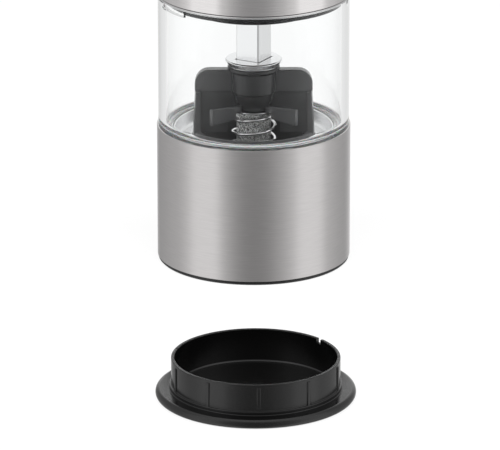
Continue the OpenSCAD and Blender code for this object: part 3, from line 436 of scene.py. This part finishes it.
# ---- Clear chamber ----
# The spice chamber is injection-moulded in clear plastic: a straight wall on a thick rounded
# foot, a neck that drops into the lower sleeve, and two bayonet grooves cut in its mouth.
CHAMBER_R, CHAMBER_IN_R = 29.6, 27.2
CHAMBER_TOP = 84.8
NECK_R, FOOT_R = 29.3, 25.0
NECK_FROM, FOOT_TOP = 38.0, 46.5
GROOVE_R, GROOVE_FROM, GROOVE_TO = 28.6, 82.6, 84.2
TRACK_SWEEP, ENTRY_SWEEP, TRACK_START, ENTRY_START = 55, 24, -12, 18


def swing(piece, degrees):
    """Turns a piece's mesh round the column's axis; with no window the sign is the other way."""
    take(piece)
    bpy.ops.object.mode_set(mode="EDIT")
    bpy.ops.mesh.select_all(action="SELECT")
    bpy.ops.transform.rotate(value=-math.radians(degrees), orient_axis="Z",
                             center_override=(0, 0, 0))
    bpy.ops.object.mode_set(mode="OBJECT")
    return piece


def combine(piece, other, how="UNION"):
    """Joins another solid to a piece, or cuts the piece with it, and clears the other away."""
    take(piece)
    joint = piece.modifiers.new(how.title(), "BOOLEAN")
    joint.operation = how
    joint.solver = "EXACT"
    joint.object = other
    bpy.ops.object.modifier_apply(modifier=joint.name)
    bpy.data.objects.remove(other)
    return piece


foot_curve = [(FOOT_R + (CHAMBER_IN_R - FOOT_R) * math.cos(math.radians(a)),
               FOOT_TOP - (FOOT_TOP - LOWER_TO) * math.sin(math.radians(a)))
              for a in range(0, 91, 9)]
wall = turn("chamber_wall",
            [(FOOT_R, NECK_FROM), (NECK_R, NECK_FROM), (NECK_R, LOWER_TO), (CHAMBER_R, LOWER_TO),
             (CHAMBER_R, CHAMBER_TOP), (CHAMBER_IN_R, CHAMBER_TOP)] + foot_curve, steps=192)
for side in (0, 180):
    for low, high, sweep, start in (
            (GROOVE_FROM, GROOVE_TO, TRACK_SWEEP, TRACK_START),
            (GROOVE_FROM + 0.8, CHAMBER_TOP + 1, ENTRY_SWEEP, ENTRY_START)):
        track = turn("track", [(CHAMBER_IN_R - 1, low), (GROOVE_R, low), (GROOVE_R, high),
                               (CHAMBER_IN_R - 1, high)], steps=24, sweep=sweep)
        combine(wall, swing(track, side + start), "DIFFERENCE")
soften(wall, 0.25, segments=3, sharp=50)
clear_plastic = finish("Clear chamber plastic", (0.995, 1.0, 1.0), roughness=0.0, IOR=1.49,
                       Transmission_Weight=1.0, Specular_Tint=(0.3, 0.3, 0.3, 1))

# Light that falls or spreads through the wall isn't bent by it, nor is what the steel mirrors
made = clear_plastic.node_tree
through = add_node(made, "LightPath")
shadow = add_node(made, "Math", "MAXIMUM")
unbent = add_node(made, "Math", "MAXIMUM")
lit = add_node(made, "BsdfTransparent", values={"Color": (0.95, 0.955, 0.955, 1)})
pane = add_node(made, "MixShader")
wire(made, (through, "Is Shadow Ray", shadow, 0), (through, "Is Diffuse Ray", shadow, 1),
     (shadow, 0, unbent, 0), (through, "Glossy Depth", unbent, 1), (unbent, 0, pane, "Fac"),
     (made.nodes["Principled BSDF"], "BSDF", pane, 1), (lit, "BSDF", pane, 2),
     (pane, "Shader", made.nodes["Material Output"], "Surface"))
fit(wall, "base_unit", "clear_plastic", clear_plastic, "chamber")


# ---- Floor dish and its screws ----
# A shallow dish pressed from polished stainless sheet with a raised rim. It lies on the
# housing, and two low slotted screws hold it and the bridge's flange down.
DISH_R, DISH_HOLE_R, DISH_FLAT_R = 24.8, 19.55, 23.1
DISH_Z, DISH_RIM_Z, DISH_T = 38.7, 43.1, 0.5
SCREW_R, SCREW_HEAD_R, SCREW_HEAD_H = 21.3, 1.5, 0.7
SCREW_SHANK_R, SCREW_FOOT_Z = 0.9, 30.2
SLOT_HALF = 0.25
side_w = DISH_R - DISH_T - DISH_FLAT_R
bowl = [(DISH_FLAT_R + side_w * math.sin(math.radians(a)),
         DISH_RIM_Z - (DISH_RIM_Z - DISH_Z) * math.cos(math.radians(a)))
        for a in range(0, 91, 9)]
dish = turn("dish_pressing",
            [(DISH_HOLE_R, DISH_Z - DISH_T), (DISH_R, DISH_Z - DISH_T), (DISH_R, DISH_RIM_Z)]
            + bowl[::-1] + [(DISH_HOLE_R, DISH_Z)], steps=160)
soften(dish, 0.15, segments=3, sharp=50)
polished = brushed("Polished stainless steel", (0.78, 0.78, 0.785), 0.0005, 0.1, 0.05)
satin_steel = brushed("Satin stainless steel", (0.88, 0.88, 0.885), 0.0005, 0.22, 0.05)
fit(dish, "base_unit", "polished_steel", satin_steel, "floor_dish")


def block(name, low, high):
    """A block between two corners, in millimetres."""
    bpy.ops.object.select_all(action="DESELECT")
    bpy.ops.mesh.primitive_cube_add(size=MM)
    piece = bpy.context.object
    piece.name = piece.data.name = name
    bpy.ops.object.mode_set(mode="EDIT")
    bpy.ops.transform.resize(value=[end - start for start, end in zip(low, high)],
                             center_override=(0, 0, 0))
    bpy.ops.transform.translate(value=[(start + end) / 2 * MM for start, end in zip(low, high)])
    bpy.ops.object.mode_set(mode="OBJECT")
    return piece


def shift(piece, x, y, z=0):
    """Moves a piece's mesh by millimetres and leaves its object at the origin."""
    take(piece)
    bpy.ops.object.mode_set(mode="EDIT")
    bpy.ops.mesh.select_all(action="SELECT")
    bpy.ops.transform.translate(value=(x * MM, y * MM, z * MM))
    bpy.ops.object.mode_set(mode="OBJECT")
    return piece


def copy_of(piece, name):
    """A copy of a piece with its own mesh."""
    take(piece)
    bpy.ops.object.duplicate(linked=False)
    bpy.context.object.name = bpy.context.object.data.name = name
    return bpy.context.object


dome = [(SCREW_HEAD_R * math.cos(math.radians(a)),
         DISH_Z + 0.25 + (SCREW_HEAD_H - 0.25) * math.sin(math.radians(a)))
        for a in range(0, 90, 15)]
screw = turn("floor_screw_right",
             [(0, SCREW_FOOT_Z), (SCREW_SHANK_R, SCREW_FOOT_Z), (SCREW_SHANK_R, DISH_Z),
              (SCREW_HEAD_R, DISH_Z)] + dome + [(0, DISH_Z + SCREW_HEAD_H)], steps=40)
combine(screw, block("slot", (-SLOT_HALF, -2 * SCREW_HEAD_R, DISH_Z + 0.35),
                     (SLOT_HALF, 2 * SCREW_HEAD_R, DISH_Z + 2)), "DIFFERENCE")
smooth(shift(screw, SCREW_R, 0))
other_screw = swing(copy_of(screw, "floor_screw_left"), 180)
screw_steel = brushed("Plain screw steel", (0.45, 0.45, 0.46), 0.002, 0.3, 0.2)
for piece in (screw, other_screw):
    fit(piece, "base_unit", "plain_steel", screw_steel, "floor_screws")


# ---- Bridge ----
# Black moulding over the burrs: a ring wall with a skirt, a web with two rounded corners that
# is thicker above its step, posts at its ends, a stepped hub for the bar, and four fins.
RING_R, RING_IN_R, RING_TOP = 18.5, 16.6, 41.8
RING_FOOT_R, SKIRT_R, SKIRT_FROM = 19.4, 19.3, 26.0
FLANGE_R, FLANGE_FROM = 24.0, 36.7
WEB_HALF, WEB_FROM, WEB_STEP_Z, WEB_TOP = 18.2, 40.8, 54.0, 61.0
WEB_T, HEAD_T, CORNER_R = 2.2, 3.9, 4.4
POST_IN_R, POST_FOOT_R, POST_HALF_ANGLE = 16.7, 18.9, 13
HUB_FOOT_Z, HUB_NECK_TO, HUB_LOW_FROM, HUB_TOP = 48.5, 50.5, 51.7, 62.1
HUB_LIP_R, HUB_R, HUB_LOW_R, HUB_NECK_R, HUB_BORE_R = 8.1, 7.25, 6.4, 5.65, 3.56
SPRING_ROOM_R = 8.2
FIN_T, FIN_FOOT, FIN_TOP, FIN_INNER_TOP = 1.2, 46.4, 51.6, 49.9


def choose(piece, kind, passes):
    """Opens a piece for editing with the edges or faces selected whose corners pass a test."""
    take(piece)
    bpy.ops.object.mode_set(mode="EDIT")
    bpy.ops.mesh.select_mode(type=kind)
    bpy.ops.mesh.select_all(action="DESELECT")
    bpy.ops.object.mode_set(mode="OBJECT")
    for part in piece.data.edges if kind == "EDGE" else piece.data.polygons:
        part.select = all(passes(piece.data.vertices[i].co / MM) for i in part.vertices)
    bpy.ops.object.mode_set(mode="EDIT")


def drill(piece, radius, low, high, steps=90):
    """Cuts a round hole on the axis between two heights."""
    hole = turn("hole", [(0, low), (radius, low), (radius, high), (0, high)], steps=steps)
    return combine(piece, hole, "DIFFERENCE")


bridge = turn("bridge_moulding",
              [(RING_IN_R, RING_TOP), (RING_R - 0.3, RING_TOP), (RING_R, RING_TOP - 0.3),
               (RING_R, DISH_Z + 2.2), (RING_R + 0.25, DISH_Z + 1.4),
               (RING_FOOT_R, DISH_Z + 0.8), (RING_FOOT_R, DISH_Z - DISH_T),
               (FLANGE_R, DISH_Z - DISH_T), (FLANGE_R, FLANGE_FROM), (SKIRT_R, FLANGE_FROM),
               (SKIRT_R, SKIRT_FROM), (RING_IN_R, SKIRT_FROM)], steps=120)
soften(bridge, 0.2, segments=2)
web = block("web", (-WEB_HALF + 0.2, -WEB_T / 2, WEB_FROM),
            (WEB_HALF - 0.2, WEB_T / 2, WEB_STEP_Z + 1))
head = block("head", (-WEB_HALF, -HEAD_T / 2, WEB_STEP_Z), (WEB_HALF, HEAD_T / 2, WEB_TOP))
for side in (-1, 1):
    choose(head, "EDGE", lambda at: at.z > WEB_TOP - 0.1 and at.x * side > WEB_HALF - 0.1)
    bpy.ops.mesh.bevel(offset=CORNER_R * MM, segments=9, affect="EDGES")
    bpy.ops.object.mode_set(mode="OBJECT")
soften(head, 0.45, segments=3)
hub = turn("hub", [(0, HUB_FOOT_Z), (HUB_NECK_R - 0.2, HUB_FOOT_Z),
                   (HUB_NECK_R, HUB_FOOT_Z + 0.2), (HUB_NECK_R, HUB_NECK_TO),
                   (HUB_LOW_R, HUB_LOW_FROM), (HUB_LOW_R, WEB_STEP_Z - 0.3),
                   (HUB_R, WEB_STEP_Z + 0.1), (HUB_R, WEB_TOP - 0.6),
                   (HUB_LIP_R, WEB_TOP + 0.2), (HUB_LIP_R, HUB_TOP), (0, HUB_TOP)], steps=96)
soften(hub, 0.12, segments=2)
post = turn("post", [(POST_IN_R, DISH_Z), (POST_FOOT_R, DISH_Z), (POST_FOOT_R, WEB_FROM),
                     (WEB_HALF, WEB_STEP_Z + 0.5), (POST_IN_R, WEB_STEP_Z + 0.5)],
            steps=10, sweep=2 * POST_HALF_ANGLE)
soften(swing(post, -POST_HALF_ANGLE), 0.3, segments=3)
far_post = swing(copy_of(post, "far_post"), 180)
fin = block("fin", (HUB_BORE_R + 0.6, -FIN_T / 2, FIN_FOOT), (RING_R - 0.2, FIN_T / 2, FIN_TOP))
choose(fin, "EDGE", lambda at: at.z > FIN_TOP - 0.1 and at.x < HUB_R)
bpy.ops.transform.translate(value=(0, 0, (FIN_INNER_TOP - FIN_TOP) * MM))
bpy.ops.object.mode_set(mode="OBJECT")
soften(fin, 0.2, segments=2)
fins = [swing(copy_of(fin, f"fin_{angle}"), angle) for angle in (45, 135, 225, 315)]
bpy.data.objects.remove(fin)
for part in [web, head, post, far_post] + fins + [hub]:
    combine(bridge, part)
drill(bridge, SPRING_ROOM_R, WEB_FROM - 1, HUB_FOOT_Z)
drill(bridge, HUB_BORE_R, HUB_FOOT_Z - 2, HUB_TOP + 2)
smooth(bridge)
bridge_black = moulded("Satin bridge plastic", (0.048, 0.048, 0.049), 0.0004, 0.1, IOR=1.5)
fit(bridge, "base_unit", "black_plastic", bridge_black, "bridge")

# The hub's faces are polished by their own part of the mould, and their black is painted
# darker than the rest of the bridge's, as painted shade
hub_shaded_black = moulded("Polished hub plastic with painted shade", (0.028, 0.028, 0.0285), 0.0001, 0.06, IOR=1.5,
                    Specular_IOR_Level=0.3)
bridge.data.materials.append(hub_shaded_black)
choose(bridge, "FACE", lambda at: at.z > HUB_FOOT_Z - 0.01 and at.xy.length < HUB_LIP_R + 0.01)
bridge.active_material_index = 1
bpy.ops.object.material_slot_assign()
bpy.ops.object.mode_set(mode="OBJECT")


# ---- Spring washer ----
# A thin washer stamped from steel sheet. It lies between the hub's foot and the spring, so
# that the wire doesn't wear the plastic.
WASHER_IN_R, WASHER_R, WASHER_FROM = 3.66, 7.1, 48.0
washer = turn("washer_stamping",
              [(WASHER_IN_R, WASHER_FROM), (WASHER_R, WASHER_FROM), (WASHER_R, HUB_FOOT_Z),
               (WASHER_IN_R, HUB_FOOT_Z)], steps=72)
soften(washer, 0.12, segments=2)
fit(washer, "base_unit", "plain_steel", polished, "spring_washer")


# ---- Square drive bar ----
# Drawn square steel bar with broken corners, turned down to a journal that runs in the hub
# and to a spindle below it. It stands a little turned, as it stopped.
BAR_SIDE, BAR_CHAMFER, BAR_TURN = 8.2, 0.5, -29.5
BAR_FROM, BAR_TO = 62.4, 86.9
JOURNAL_R, JOURNAL_FROM = 3.5, 47.9
SPINDLE_R, SPINDLE_FROM = 2.5, 2.3


def square_bar(name, side, chamfer, low, high):
    """A square bar on the axis with its long corners broken, turned as the drive bar is."""
    half = side / 2
    piece = block(name, (-half, -half, low), (half, half, high))
    choose(piece, "EDGE", lambda at: True)
    bpy.ops.object.mode_set(mode="OBJECT")
    for edge in piece.data.edges:
        ends = [piece.data.vertices[i].co for i in edge.vertices]
        edge.select = abs(ends[0].z - ends[1].z) > MM
    bpy.ops.object.mode_set(mode="EDIT")
    bpy.ops.mesh.bevel(offset=chamfer * MM, segments=1, affect="EDGES")
    bpy.ops.object.mode_set(mode="OBJECT")
    return swing(piece, BAR_TURN)


drive_bar = square_bar("drive_bar", BAR_SIDE, BAR_CHAMFER, BAR_FROM, BAR_TO)
soften(drive_bar, 0.1, segments=2, sharp=30)
journal = turn("journal", [(0, SPINDLE_FROM), (SPINDLE_R - 0.4, SPINDLE_FROM),
                           (SPINDLE_R, SPINDLE_FROM + 0.4), (SPINDLE_R, JOURNAL_FROM),
                           (JOURNAL_R, JOURNAL_FROM), (JOURNAL_R, BAR_FROM + 1),
                           (0, BAR_FROM + 1)], steps=64)
smooth(combine(drive_bar, journal))
bar_steel = finish("Drawn bar steel", (0.86, 0.86, 0.865), metallic=1, roughness=0.2)
made = bar_steel.node_tree
surface = made.nodes["Principled BSDF"]
place = add_node(made, "TexCoord")
drawn = add_node(made, "Mapping", values={"Scale": (2600, 2600, 60)})
marks = add_node(made, "TexNoise", values={"Scale": 1, "Detail": 3})
gloss = add_node(made, "MapRange", values={"To Min": 0.14, "To Max": 0.3})
tint = colour_ramp(made, (0, (0.88, 0.88, 0.885)), (1, (0.96, 0.96, 0.965)))
scratch = add_node(made, "Bump", values={"Distance": 0.001 * MM})
wire(made, (place, "Object", drawn, "Vector"), (drawn, 0, marks, "Vector"),
     (marks, "Fac", gloss, "Value"), (marks, "Fac", tint, "Fac"),
     (marks, "Fac", scratch, "Height"), (gloss, "Result", surface, "Roughness"),
     (tint, "Color", surface, "Base Color"), (scratch, "Normal", surface, "Normal"))
fit(drive_bar, "output_shaft", "polished_steel", bar_steel, "drive_shaft")


# ---- Burr driver ----
# A square sleeve sintered from steel powder, open-grained and grey, that turns the burr and
# lets it slide up and down.
DRIVER_FROM, DRIVER_TO, DRIVER_BORE_R = 15.6, 47.7, 2.53
driver = square_bar("driver_sinter", BAR_SIDE, BAR_CHAMFER, DRIVER_FROM, DRIVER_TO)
soften(driver, 0.12, segments=2, sharp=30)
smooth(drill(driver, DRIVER_BORE_R, DRIVER_FROM - 5, DRIVER_TO + 5, steps=48))
sintered = finish("Sintered grey steel", (0.3, 0.3, 0.3), metallic=0.8, roughness=0.5)
made = sintered.node_tree
surface = made.nodes["Principled BSDF"]
place = add_node(made, "TexCoord")
powder = add_node(made, "TexVoronoi", values={"Scale": 2800})
pores = add_node(made, "TexNoise", values={"Scale": 2800, "Detail": 3})
grey = colour_ramp(made, (0.42, (0.13, 0.13, 0.13)), (0.56, (1, 1, 0.99)))
open_grain = add_node(made, "Bump", values={"Distance": 0.03 * MM})
wire(made, (place, "Object", powder, "Vector"), (place, "Object", pores, "Vector"),
     (pores, "Fac", grey, "Fac"), (grey, "Color", surface, "Base Color"),
     (powder, "Distance", open_grain, "Height"), (open_grain, "Normal", surface, "Normal"))
fit(driver, "output_shaft", "plain_steel", sintered, "burr_driver")


# ---- Hub collar ----
# A collar turned from stainless steel and pressed over the bar. It closes the hub against
# dust and turns with the bar, whose square hole is broached through it.
COLLAR_R, COLLAR_FROM, COLLAR_TOP, COLLAR_HOLE = 8.75, 62.4, 64.4, 8.7
collar = turn("collar_turning",
              [(0, COLLAR_FROM), (HUB_LIP_R, COLLAR_FROM), (HUB_LIP_R, COLLAR_FROM + 0.4),
               (COLLAR_R, COLLAR_TOP - 0.5), (COLLAR_R, COLLAR_TOP - 0.25),
               (COLLAR_R - 0.3, COLLAR_TOP), (0, COLLAR_TOP)], steps=120)
combine(collar, square_bar("broach", COLLAR_HOLE, 0.05, COLLAR_FROM - 2, COLLAR_TOP + 2),
        "DIFFERENCE")
soften(collar, 0.08, segments=2)
fit(collar, "output_shaft", "polished_steel", satin_steel, "hub_collar")


# ---- Burr spring ----
# Compression spring coiled from bright drawn wire, its foot coil laid close and its last turn
# open up to the washer. In the mill the knob squeezes it when it lifts the burr; this coil
# keeps one length.
COIL_R, WIRE_R = 6.625, 0.475
COIL_FOOT_Z, COIL_TOP_Z = 30.725, 47.275
CLOSE_RISE, OPEN_TURNS, END_ANGLE = 1.5, 3.5, 15
RINGS_A_TURN = 32


def coil(name, radius, wire_r, start_angle, rises):
    """Sweeps a ring of wire up a right-handed coil, by the rise of each step in millimetres."""
    bpy.ops.object.select_all(action="DESELECT")
    bpy.ops.mesh.primitive_circle_add(vertices=12, radius=wire_r * MM, fill_type="NGON")
    piece = bpy.context.object
    piece.name = piece.data.name = name
    bpy.ops.object.mode_set(mode="EDIT")
    bpy.ops.transform.rotate(value=math.pi / 2, orient_axis="X", center_override=(0, 0, 0))
    bpy.ops.transform.translate(value=(radius * MM, 0, 0))
    for rise in rises:
        bpy.ops.mesh.extrude_region_move(TRANSFORM_OT_translate={"value": (0, 0, rise * MM)})
        bpy.ops.transform.rotate(value=-math.tau / RINGS_A_TURN, orient_axis="Z",
                                 center_override=(0, 0, 0))
    bpy.ops.mesh.select_all(action="SELECT")
    bpy.ops.mesh.normals_make_consistent(inside=False)
    bpy.ops.object.mode_set(mode="OBJECT")
    return smooth(swing(piece, start_angle))


open_steps = int(OPEN_TURNS * RINGS_A_TURN)
rises = ([CLOSE_RISE / RINGS_A_TURN] * RINGS_A_TURN
         + [(COIL_TOP_Z - COIL_FOOT_Z - CLOSE_RISE) / open_steps] * open_steps)
burr_coil = coil("burr_coil", COIL_R, WIRE_R, END_ANGLE - 360 * (OPEN_TURNS + 1), rises)
shift(burr_coil, 0, 0, COIL_FOOT_Z)
spring_wire = brushed("Bright spring wire", (0.9, 0.9, 0.905), 0.001, 0.2, 0.1)
fit(burr_coil, "output_shaft", "spring_steel", spring_wire, "burr_spring")
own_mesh(burr_coil)


# ---- Gear train ----
# Planets and first carrier are moulded in pale nylon, the output carrier is sintered steel,
# and the motor's pinion is hobbed brass. The ring gear is black and full of grease.
nylon = moulded("Pale gear nylon", (0.75, 0.72, 0.64), 0.004, 0.35, Subsurface_Weight=0.1,
                Subsurface_Scale=0.002)
for name in ("planet_1a", "planet_1b", "planet_1c", "planet_2a", "planet_2b", "planet_2c",
             "first_carrier", "switch_plunger"):
    wear(nodes[name], nylon)
wear(nodes["output_carrier"], sintered)
wear(nodes["motor_pinion"], turned_brass)
wear(nodes["ring_gear"], housing_black)


# ---- Motor base, bush and lock ring ----
# The motor unit's black base closes the chamber with a plate, a boss and two bayonet lugs.
# A bush pressed in the boss carries the output, and a polished ring trims the joint.
TRIM_IN_R, TRIM_R, TRIM_FROM, TRIM_TO = 26.94, 29.9, 84.9, 85.6
wear(nodes["motor_base"],
     moulded("Black base plastic", (0.01, 0.01, 0.0105), 0.002, 0.2, IOR=1.45))
wear(nodes["output_bush"], turned_brass)
trim = turn("trim_ring",
            [(TRIM_IN_R, TRIM_FROM), (TRIM_R - 0.3, TRIM_FROM), (TRIM_R, TRIM_FROM + 0.25),
             (TRIM_R, TRIM_TO - 0.25), (TRIM_R - 0.3, TRIM_TO), (TRIM_IN_R, TRIM_TO)], steps=192)
soften(trim, 0.08, segments=2)
fit(trim, "motor_unit", "polished_steel", polished, "lock_ring")


# ---- Motor, gear cover and screws ----
# A zinc-plated motor can with a black rear cap sits on the gear cover, a stamped steel plate
# that four long screws hold down.
zinc = brushed("Zinc-plated steel", (0.55, 0.56, 0.57), 0.003, 0.36, 0.12)
for name in ("motor_can", "gear_cover"):
    wear(nodes[name], zinc)
for name in ("gear_screws", "guide_screws", "motor_shaft"):
    wear(nodes[name], screw_steel)
wear(nodes["motor_end_cap"], housing_black)


# ---- Frame, holder, contacts, leads and switch ----
# Black mouldings hold the motor and the cells; the contacts are spring wire and brass plate.
# Two insulated leads, one black and one red, run up the holder's column to the switch.
for name in ("core_frame", "battery_holder", "power_switch", "button_guide"):
    wear(nodes[name], housing_black)
wear(nodes["contact_springs"], spring_wire)
wear(nodes["contact_plates"], turned_brass)
insulation = finish("Lead insulation", (0.35, 0.02, 0.015), roughness=0.35)
made = insulation.node_tree
place = add_node(made, "TexCoord")
apart = add_node(made, "SeparateXYZ")
positive = add_node(made, "Math", "GREATER_THAN", {1: 0})
pigment = add_node(made, "TexNoise", values={"Scale": 700})
red = add_node(made, "Mix", values={"A": (0.3, 0.015, 0.012, 1), "B": (0.4, 0.025, 0.02, 1)})
lead = add_node(made, "Mix", values={"A": (0.012, 0.012, 0.012, 1)})
wire(made, (place, "Object", apart, 0), (place, "Object", pigment, "Vector"),
     (apart, "X", positive, 0), (pigment, "Fac", red, "Factor"), (red, "Result", lead, "B"),
     (positive, 0, lead, "Factor"),
     (lead, "Result", made.nodes["Principled BSDF"], "Base Color"))
wear(nodes["wires"], insulation)


# ---- Cells ----
# Four standard cylindrical cells, drawn steel cans in a shrunk plain jacket that leaves both
# ends bare. Every other one stands the other way up.
CELL_R, CELL_L, NUB_R, NUB_H = 7.25, 49.3, 2.75, 1.2
CELL_CIRCLE_R, BARE_END = 18.0, 1.6
cell_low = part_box("cells")[0][2] / MM
cell_outline = [(0, 0.25), (4.2, 0.25), (4.6, 0), (6.2, 0), (6.95, 0.4), (CELL_R, 0.9),
                (CELL_R, CELL_L - 0.9), (6.95, CELL_L - 0.4), (6.2, CELL_L),
                (NUB_R + 0.3, CELL_L), (NUB_R, CELL_L + 0.3), (NUB_R, CELL_L + NUB_H - 0.2),
                (NUB_R - 0.3, CELL_L + NUB_H), (0, CELL_L + NUB_H)]
jacket = finish("Shrunk cell jacket", (0.1, 0.11, 0.13), roughness=0.3, Coat_Weight=0.3)
made = jacket.node_tree
surface = made.nodes["Principled BSDF"]
place = add_node(made, "TexCoord")
apart = add_node(made, "SeparateXYZ")
middle = add_node(made, "Math", "SUBTRACT", {1: (cell_low + (CELL_L + NUB_H) / 2) * MM})
off_middle = add_node(made, "Math", "ABSOLUTE")
bare = add_node(made, "Math", "GREATER_THAN", {1: (CELL_L / 2 - BARE_END) * MM})
foil = add_node(made, "TexNoise", values={"Scale": 300})
coat_tone = add_node(made, "Mix", values={"A": (0.08, 0.09, 0.11, 1),
                                          "B": (0.12, 0.13, 0.155, 1)})
can_or_jacket = add_node(made, "Mix", values={"B": (0.62, 0.62, 0.63, 1)})
wire(made, (place, "Object", apart, 0), (place, "Object", foil, "Vector"),
     (apart, "Z", middle, 0), (middle, 0, off_middle, 0), (off_middle, 0, bare, 0),
     (foil, "Fac", coat_tone, "Factor"), (coat_tone, "Result", can_or_jacket, "A"),
     (bare, 0, can_or_jacket, "Factor"), (can_or_jacket, "Result", surface, "Base Color"),
     (bare, 0, surface, "Metallic"))
cell = smooth(turn("cell_1", cell_outline, steps=56))
flipped = copy_of(cell, "cell_2")
take(flipped)
bpy.ops.object.mode_set(mode="EDIT")
bpy.ops.mesh.select_all(action="SELECT")
bpy.ops.transform.rotate(value=math.pi, orient_axis="X",
                         center_override=(0, 0, (CELL_L + NUB_H) / 2 * MM))
bpy.ops.object.mode_set(mode="OBJECT")
for piece, angle in ((cell, 45), (flipped, 135), (copy_of(cell, "cell_3"), 225),
                     (copy_of(flipped, "cell_4"), 315)):
    swing(shift(piece, CELL_CIRCLE_R, 0, cell_low), angle)
    fit(piece, "motor_unit", "cell_jacket", jacket, "cells")


# ---- Upper sleeve ----
# The same stainless tube as below, brushed a little finer, and its metal painted lighter than
# the lower sleeve's as painted light for the brighter top. The top cap is glued into it, and
# it slides up off the frame for a change of cells.
UPPER_FROM, UPPER_TO = 85.8, 212.2
# The upper sleeve's metal colour is lighter than the lower's: painted light
fit(steel_tube("upper_sleeve_tube", UPPER_FROM, UPPER_TO), "sleeve_unit", "brushed_steel",
    brushed_steel("Brushed upper sleeve painted lighter", (0.78, 0.76, 0.757), 0.12), "upper_sleeve")


# ---- Top cap and button ----
# The top cap is moulded in glossy black and glued into the sleeve. The button is spun from
# aluminium and stands on a light spring over the switch.
wear(nodes["top_cap"],
     moulded("Gloss black plastic", (0.008, 0.008, 0.0085), 0.0005, 0.06, IOR=1.5))
wear(nodes["power_button"], brushed("Spun aluminium", (0.72, 0.72, 0.73), 0.003, 0.24, 0.2))
BUTTON_COIL_R, BUTTON_WIRE_R, BUTTON_TURNS = 4.2, 0.25, 4
coil_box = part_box("button_spring")
coil_from, coil_to = coil_box[0][2] / MM + BUTTON_WIRE_R, coil_box[1][2] / MM - BUTTON_WIRE_R
button_steps = BUTTON_TURNS * RINGS_A_TURN
button_coil = coil("button_coil", BUTTON_COIL_R, BUTTON_WIRE_R, 0,
                   [(coil_to - coil_from) / button_steps] * button_steps)
shift(button_coil, 0, 0, coil_from)
fit(button_coil, "sleeve_unit", "spring_steel", spring_wire, "button_spring")
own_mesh(button_coil)


# ---- Base cap ----
# Push-on cap in satin black, taken off and stood in front open side up: a rounded flange, a
# thin rim with friction ribs and a small notch, and a shallow recess under it.
CAP_X, CAP_Y = 0.6, -127.0
FLANGE_EDGE_R, FLANGE_T = 29.0, 2.8
LEDGE_R, LEDGE_TOP = 24.95, 4.0
RIM_R, RIM_IN_R, RIM_TOP = 24.45, 23.45, 11.9
CAP_FLOOR_Z, RECESS_R, RECESS_H = 2.0, 18.45, 0.5
RIBS, FIRST_RIB, RIB_OUT, RIB_HALF, RIB_TOP = 10, -88, 0.35, 0.6, 11.1
NOTCH_ANGLE, NOTCH_HALF, NOTCH_Z = 39, 0.9, 10.5
OWN_REACH = 62  # further than across the cap
rolled_edge = [(FLANGE_EDGE_R - FLANGE_T / 2 * (1 - math.sin(math.radians(a))),
                FLANGE_T / 2 * (1 - math.cos(math.radians(a)))) for a in range(0, 181, 15)]
cap = turn("cap_moulding",
           [(0, RECESS_H), (RECESS_R, RECESS_H), (RECESS_R, 0)] + rolled_edge
           + [(LEDGE_R, FLANGE_T), (LEDGE_R, LEDGE_TOP), (RIM_R, LEDGE_TOP), (RIM_R, RIM_TOP),
              (RIM_IN_R, RIM_TOP), (RIM_IN_R, CAP_FLOOR_Z + 0.4), (RIM_IN_R - 0.4, CAP_FLOOR_Z),
              (0, CAP_FLOOR_Z)], steps=192)
soften(cap, 0.2, segments=3, sharp=40)
rib = block("rib", (RIM_R - 0.5, -RIB_HALF, FLANGE_T), (RIM_R + RIB_OUT, RIB_HALF, RIB_TOP))
soften(rib, 0.28, segments=3)
for number in range(RIBS):
    combine(cap, swing(copy_of(rib, "rib_copy"), FIRST_RIB + number * 360 / RIBS))
bpy.data.objects.remove(rib)
notch = block("notch", (RIM_IN_R - 2, -NOTCH_HALF, NOTCH_Z), (RIM_R + 2, NOTCH_HALF, RIM_TOP + 2))
combine(cap, swing(notch, NOTCH_ANGLE), "DIFFERENCE")
smooth(shift(cap, CAP_X, CAP_Y))
satin_black = moulded("Satin black plastic", (0.0015, 0.0015, 0.0015), 0.0008, 0.16, IOR=1.55)
fit(cap, "cap", "satin_black", satin_black, "base_cap")

# The column's steel, further off than the cap is wide, mirrors the studio without the cap
made = satin_black.node_tree
met = add_node(made, "LightPath")
far_off = add_node(made, "Math", "GREATER_THAN", {1: OWN_REACH * MM})
passed = add_node(made, "Math", "MAXIMUM")
unseen = add_node(made, "Math", "MULTIPLY")
unseen.use_clamp = True
open_air = add_node(made, "BsdfTransparent")
choice = add_node(made, "MixShader")
wire(made, (met, "Ray Length", far_off, 0), (far_off, 0, passed, 0),
     (met, "Transparent Depth", passed, 1), (passed, 0, unseen, 0),
     (met, "Is Glossy Ray", unseen, 1), (unseen, 0, choice, "Fac"),
     (made.nodes["Principled BSDF"], "BSDF", choice, 1), (open_air, "BSDF", choice, 2),
     (choice, "Shader", made.nodes["Material Output"], "Surface"))
